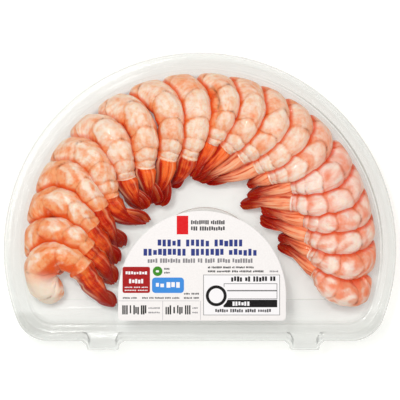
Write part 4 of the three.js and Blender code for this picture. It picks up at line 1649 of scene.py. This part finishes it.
@dataclass
class Label:
    """The arched label on the roof, with plain fields of colour where a printed label has its words."""

    x: float = 1.5
    arch_y: float = -34.3
    foot_y: float = -53.9
    radius: float = 63.4
    corner: float = 3.2
    under: float = 45.1
    paper: float = 0.13
    ink_film: float = 0.02
    ink_sunk: float = 0.01
    """How far the first layer of ink reaches into the paper, so that no gap shows."""
    layer_rise: float = 0.018
    """How much higher each further layer starts, a little less than a film."""
    arch_steps: int = 96
    corner_steps: int = 10
    fields: tuple[Block, ...] = (
        Block(-17.6, 11.3, -8.9, 25.4, Ink.RED),
        Block(-58.6, -33.0, -37.8, -13.2, Ink.DEEP_RED, 1.5),
        Block(-35.7, -20.2, -28.4, -12.9, Ink.GREEN, 3.6),
        Block(-36.3, -33.0, -12.1, -21.3, Ink.SKY, 2.6),
        Block(-33.4, -17.4, -31.0, -15.8, Ink.WHITE, 0.6, 1),
        Block(-61.6, -39.15, -0.4, -38.8, Ink.HAIRLINE),
        Block(-28.4, -53.4, -28.05, -39.0, Ink.HAIRLINE),
        Block(0.2, -53.4, 0.55, -39.0, Ink.HAIRLINE),
        Block(2.5, -49.8, 60.4, -19.2, Ink.DARK_GREY),
        Block(2.85, -49.45, 60.05, -19.55, Ink.WHITE, 0.0, 1),
        Block(18.0, -31.2, 58.4, -25.8, Ink.DARK_GREY, 0.0, 2),
        Block(18.4, -30.8, 58.0, -26.2, Ink.WHITE, 0.0, 3),
        Block(18.0, -37.6, 58.4, -31.3, Ink.DARK_GREY, 0.0, 2),
        Block(18.4, -37.2, 58.0, -31.7, Ink.WHITE, 0.0, 3),
        Block(17.8, -43.8, 58.4, -38.1, Ink.BLACK, 0.0, 2),
    )
    lines: tuple[Line, ...] = (
        Line(-6.9, 18.9, 18.9, 3.1, Ink.DARK_GREY, (9, 7)),
        Line(-6.9, 18.9, 14.2, 3.1, Ink.DARK_GREY, (3, 11)),
        Line(-32.3, 32.9, 2.2, 5.2, Ink.BLUE, (5, 5, 6)),
        Line(-43.0, 43.6, -4.8, 5.2, Ink.BLUE, (9, 7, 6)),
        Line(-39.7, 40.1, -10.2, 3.3, Ink.GREY, (4, 8, 5, 2, 4, 5, 8)),
        Line(-56.4, -39.8, -19.0, 2.3, Ink.WHITE, (8,), 1),
        Line(-53.8, -42.4, -25.7, 3.3, Ink.WHITE, (5,), 1),
        Line(-57.0, -39.4, -29.1, 0.8, Ink.WHITE, (5, 4, 4), 1),
        Line(-57.0, -39.4, -31.4, 0.8, Ink.WHITE, (7, 6), 1),
        Line(-27.2, -23.0, -15.5, 1.4, Ink.DARK_GREY, (4,)),
        Line(-27.2, -22.6, -18.3, 1.4, Ink.DARK_GREY, (4,)),
        Line(-33.6, -26.8, -28.6, 3.2, Ink.WHITE, (2,), 1),
        Line(-25.6, -14.6, -29.0, 4.2, Ink.WHITE, (3,), 1),
        Line(-58.4, -47.6, -37.4, 1.3, Ink.DARK_GREY, (6, 5)),
        Line(-43.8, -15.4, -37.4, 1.3, Ink.DARK_GREY, (4, 3, 6, 4, 5)),
        Line(-12.2, -0.6, -34.2, 1.3, Ink.DARK_GREY, (4, 5)),
        Line(-12.2, -0.6, -37.4, 1.3, Ink.DARK_GREY, (6, 4)),
        Line(-58.9, -40.3, -49.2, 6.9, Ink.BLACK, (3, 1, 3, 3)),
        Line(-39.1, -30.2, -45.0, 1.2, Ink.GREY, (6,)),
        Line(-39.1, -30.2, -48.4, 1.2, Ink.GREY, (7,)),
        Line(-26.2, -6.8, -49.2, 6.9, Ink.BLACK, (3, 1, 3, 3)),
        Line(-5.8, -1.6, -45.0, 1.2, Ink.GREY, (4,)),
        Line(-5.8, -1.6, -48.4, 1.2, Ink.GREY, (4,)),
        Line(5.9, 40.7, -14.4, 1.5, Ink.BLACK, (2, 8, 6, 2, 7, 6)),
        Line(5.9, 48.2, -17.4, 1.5, Ink.BLACK, (5, 9, 4, 8, 7)),
        Line(52.6, 59.2, -17.3, 1.3, Ink.GREY, (6,)),
        Line(23.4, 57.3, -24.4, 3.9, Ink.BLACK, (4, 2, 5, 2), 2),
        Line(24.4, 37.8, -42.7, 3.2, Ink.WHITE, (6,), 3),
        Line(11.4, 53.8, -47.6, 2.5, Ink.DARK_GREY, (6, 6, 5, 6), 2),
    )
    ring_centre: tuple[float, float] = (12.3, -35.1)
    ring_field: float = 9.0
    ring_inner: float = 5.6
    ring_outer: float = 7.9
    ring_under: float = 0.05
    ring_lift: float = 0.01
    """How high the ring's field starts over the paper, and how much higher the ring itself."""
    field_films: float = 5.0
    ring_films: float = 5.7
    """How many films of ink thick the field and the ring are, so that they cover what is under them."""
    ring_steps: int = 48

    def outline(self) -> np.ndarray:
        """Points of the arch with rounded lower corners, counter-clockwise."""
        corner, across, foot = self.corner, self.radius - self.corner, self.foot_y + self.corner
        top = np.linspace(0, np.pi, self.arch_steps)
        left = np.linspace(np.pi, 1.5 * np.pi, self.corner_steps)
        right = np.linspace(-np.pi / 2, 0, self.corner_steps)
        return np.concatenate([
            np.stack([self.x + self.radius * np.cos(top), self.arch_y + self.radius * np.sin(top)], 1),
            np.stack([self.x - across + corner * np.cos(left), foot + corner * np.sin(left)], 1),
            np.stack([self.x + across + corner * np.cos(right), foot + corner * np.sin(right)], 1),
        ])

    def slab(self, surface: Surface, plan: np.ndarray, low: float, high: float, look: int = 0) -> None:
        """Adds a flat slab with a plan between two heights."""
        rings = [np.column_stack([plan, np.full(len(plan), z)]) for z in (low, high)]
        surface.add(np.concatenate(rings), capped(2, len(plan)), look)

    def ring_mark(self, surface: Surface, inks: Sequence[Ink], base: float) -> None:
        """Adds a plain printed ring on a bare round field, over the outlined panel's rows.

        Args:
            surface: where it goes.
            inks: the inks, in the order of the print's materials.
            base: the height of the paper's top.
        """
        angle = np.linspace(0, 2 * np.pi, self.ring_steps, endpoint=False)
        centre, turn = np.array(self.ring_centre), np.stack([np.cos(angle), np.sin(angle)], 1)
        low, inner, outer = base + self.ring_under, self.ring_inner, self.ring_outer
        field_top, ring_top = base + self.field_films * self.ink_film, base + self.ring_films * self.ink_film
        self.slab(surface, centre + self.ring_field * turn, low, field_top, inks.index(Ink.WHITE))
        low += self.ring_lift
        rings = [
            np.column_stack([centre + radius * turn, np.full(self.ring_steps, z)])
            for radius, z in ((inner, low), (outer, low), (outer, ring_top), (inner, ring_top))
        ]
        faces = skin(len(rings), self.ring_steps, closed=True)
        surface.add(np.concatenate(rings), faces, inks.index(Ink.BLACK))

    def build(self, book: FinishBook) -> None:
        """Builds the paper and its print.

        Args:
            book: the finishes.
        """
        base = self.under + self.paper
        sheet = Surface()
        self.slab(sheet, self.outline(), self.under, base)
        sheet.piece("label_paper", [book[Finish.PAPER]], "label", "label", smooth=False)
        inks, printed = list(Ink), Surface()
        for block in [*self.fields, *(block for line in self.lines for block in line.blocks())]:
            low = base - self.ink_sunk + self.layer_rise * block.layer
            high = base + self.ink_film * (1 + block.layer)
            self.slab(printed, block.plan(), low, high, inks.index(block.ink))
        self.ring_mark(printed, inks, base)
        printed.piece("label_print", [book.inks[ink] for ink in inks], "label", None, smooth=False)


# ---- Studio ----


@dataclass(frozen=True)
class SoftBox:
    """A rectangular soft box aimed at the pack: its place and its two sizes in metres, and its watts."""

    name: str
    place: tuple[float, float, float]
    width: float
    height: float
    power: float

    def build(self) -> None:
        """Hangs the box."""
        light = bpy.data.lights.new(self.name, "AREA")
        light.shape = "RECTANGLE"
        light.size, light.size_y, light.energy = self.width, self.height, self.power
        lamp = bpy.data.objects.new(self.name, light)
        lamp.location = self.place
        x, y, z = unit(-np.array(self.place))
        lamp.rotation_euler = (math.acos(-z), 0.0, math.atan2(-x, y))
        bpy.context.scene.collection.objects.link(lamp)


@dataclass
class Studio:
    """An opal light table under soft boxes, with the camera straight above the pack. It is in metres."""

    camera_height: float = 1.6
    frame_width: float = 0.3046
    focus_height: float = 0.034
    aim_y: float = 0.001
    sensor_mm: float = 36.0
    clip_end: float = 20.0
    sky: float = 0.53
    sky_colour: str = "FFFFFF"
    table_half: float = 4.0
    table_glow: float = 0.2
    boxes: tuple[SoftBox, ...] = (
        SoftBox("top_box", (-0.3, 0.2, 1.7), 0.42, 0.42, 7.7),
        SoftBox("small_box", (-0.2, 0.34, 1.5), 0.1, 0.1, 3.0),
        SoftBox("fill_box", (0.35, 0.3, 1.6), 0.7, 0.6, 3.6),
        SoftBox("front_box", (0.1, -0.95, 0.9), 1.2, 0.5, 1.1),
    )

    def build(self) -> None:
        """Builds the table, the lights and the camera."""
        scene = bpy.context.scene
        scene.view_settings.view_transform = "Standard"
        self.light_table()
        self.sky_light()
        for box in self.boxes:
            box.build()
        camera = bpy.data.objects.new("camera", bpy.data.cameras.new("camera"))
        camera.data.sensor_width = self.sensor_mm
        camera.data.lens = self.sensor_mm * (self.camera_height - self.focus_height) / self.frame_width
        camera.data.clip_end = self.clip_end
        camera.location = (0.0, self.aim_y, self.camera_height)
        scene.collection.objects.link(camera)
        scene.camera = camera

    def light_table(self) -> None:
        """A wide opal acrylic table that glows a little from below, so the ground stays white."""
        half = self.table_half
        mesh = bpy.data.meshes.new("light_table")
        corners = [(-half, -half, 0), (half, -half, 0), (half, half, 0), (-half, half, 0)]
        mesh.from_pydata(corners, [], [(0, 1, 2, 3)])
        mesh.materials.append(OpalAcrylic(self.table_glow).make())
        table = bpy.data.objects.new("light_table", mesh)
        bpy.context.scene.collection.objects.link(table)

    def sky_light(self) -> None:
        """An even white surround."""
        world = bpy.data.worlds.new("surround")
        world.use_nodes = True
        background = world.node_tree.nodes["Background"]
        background.inputs["Color"].default_value = linear(self.sky_colour)
        background.inputs["Strength"].default_value = self.sky
        bpy.context.scene.world = world


def main() -> None:
    """Builds the pack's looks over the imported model, in order."""
    logging.basicConfig(level=logging.INFO, format="%(name)s %(message)s")
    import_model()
    Studio().build()
    book = FinishBook()
    outline = Outline()
    tray_shell(outline).build(book)
    lid_shell(outline).build(book)
    SaucePot().build(book)
    Label().build(book)
    ShrimpRing().build(book)


if __name__ == "__main__":
    main()
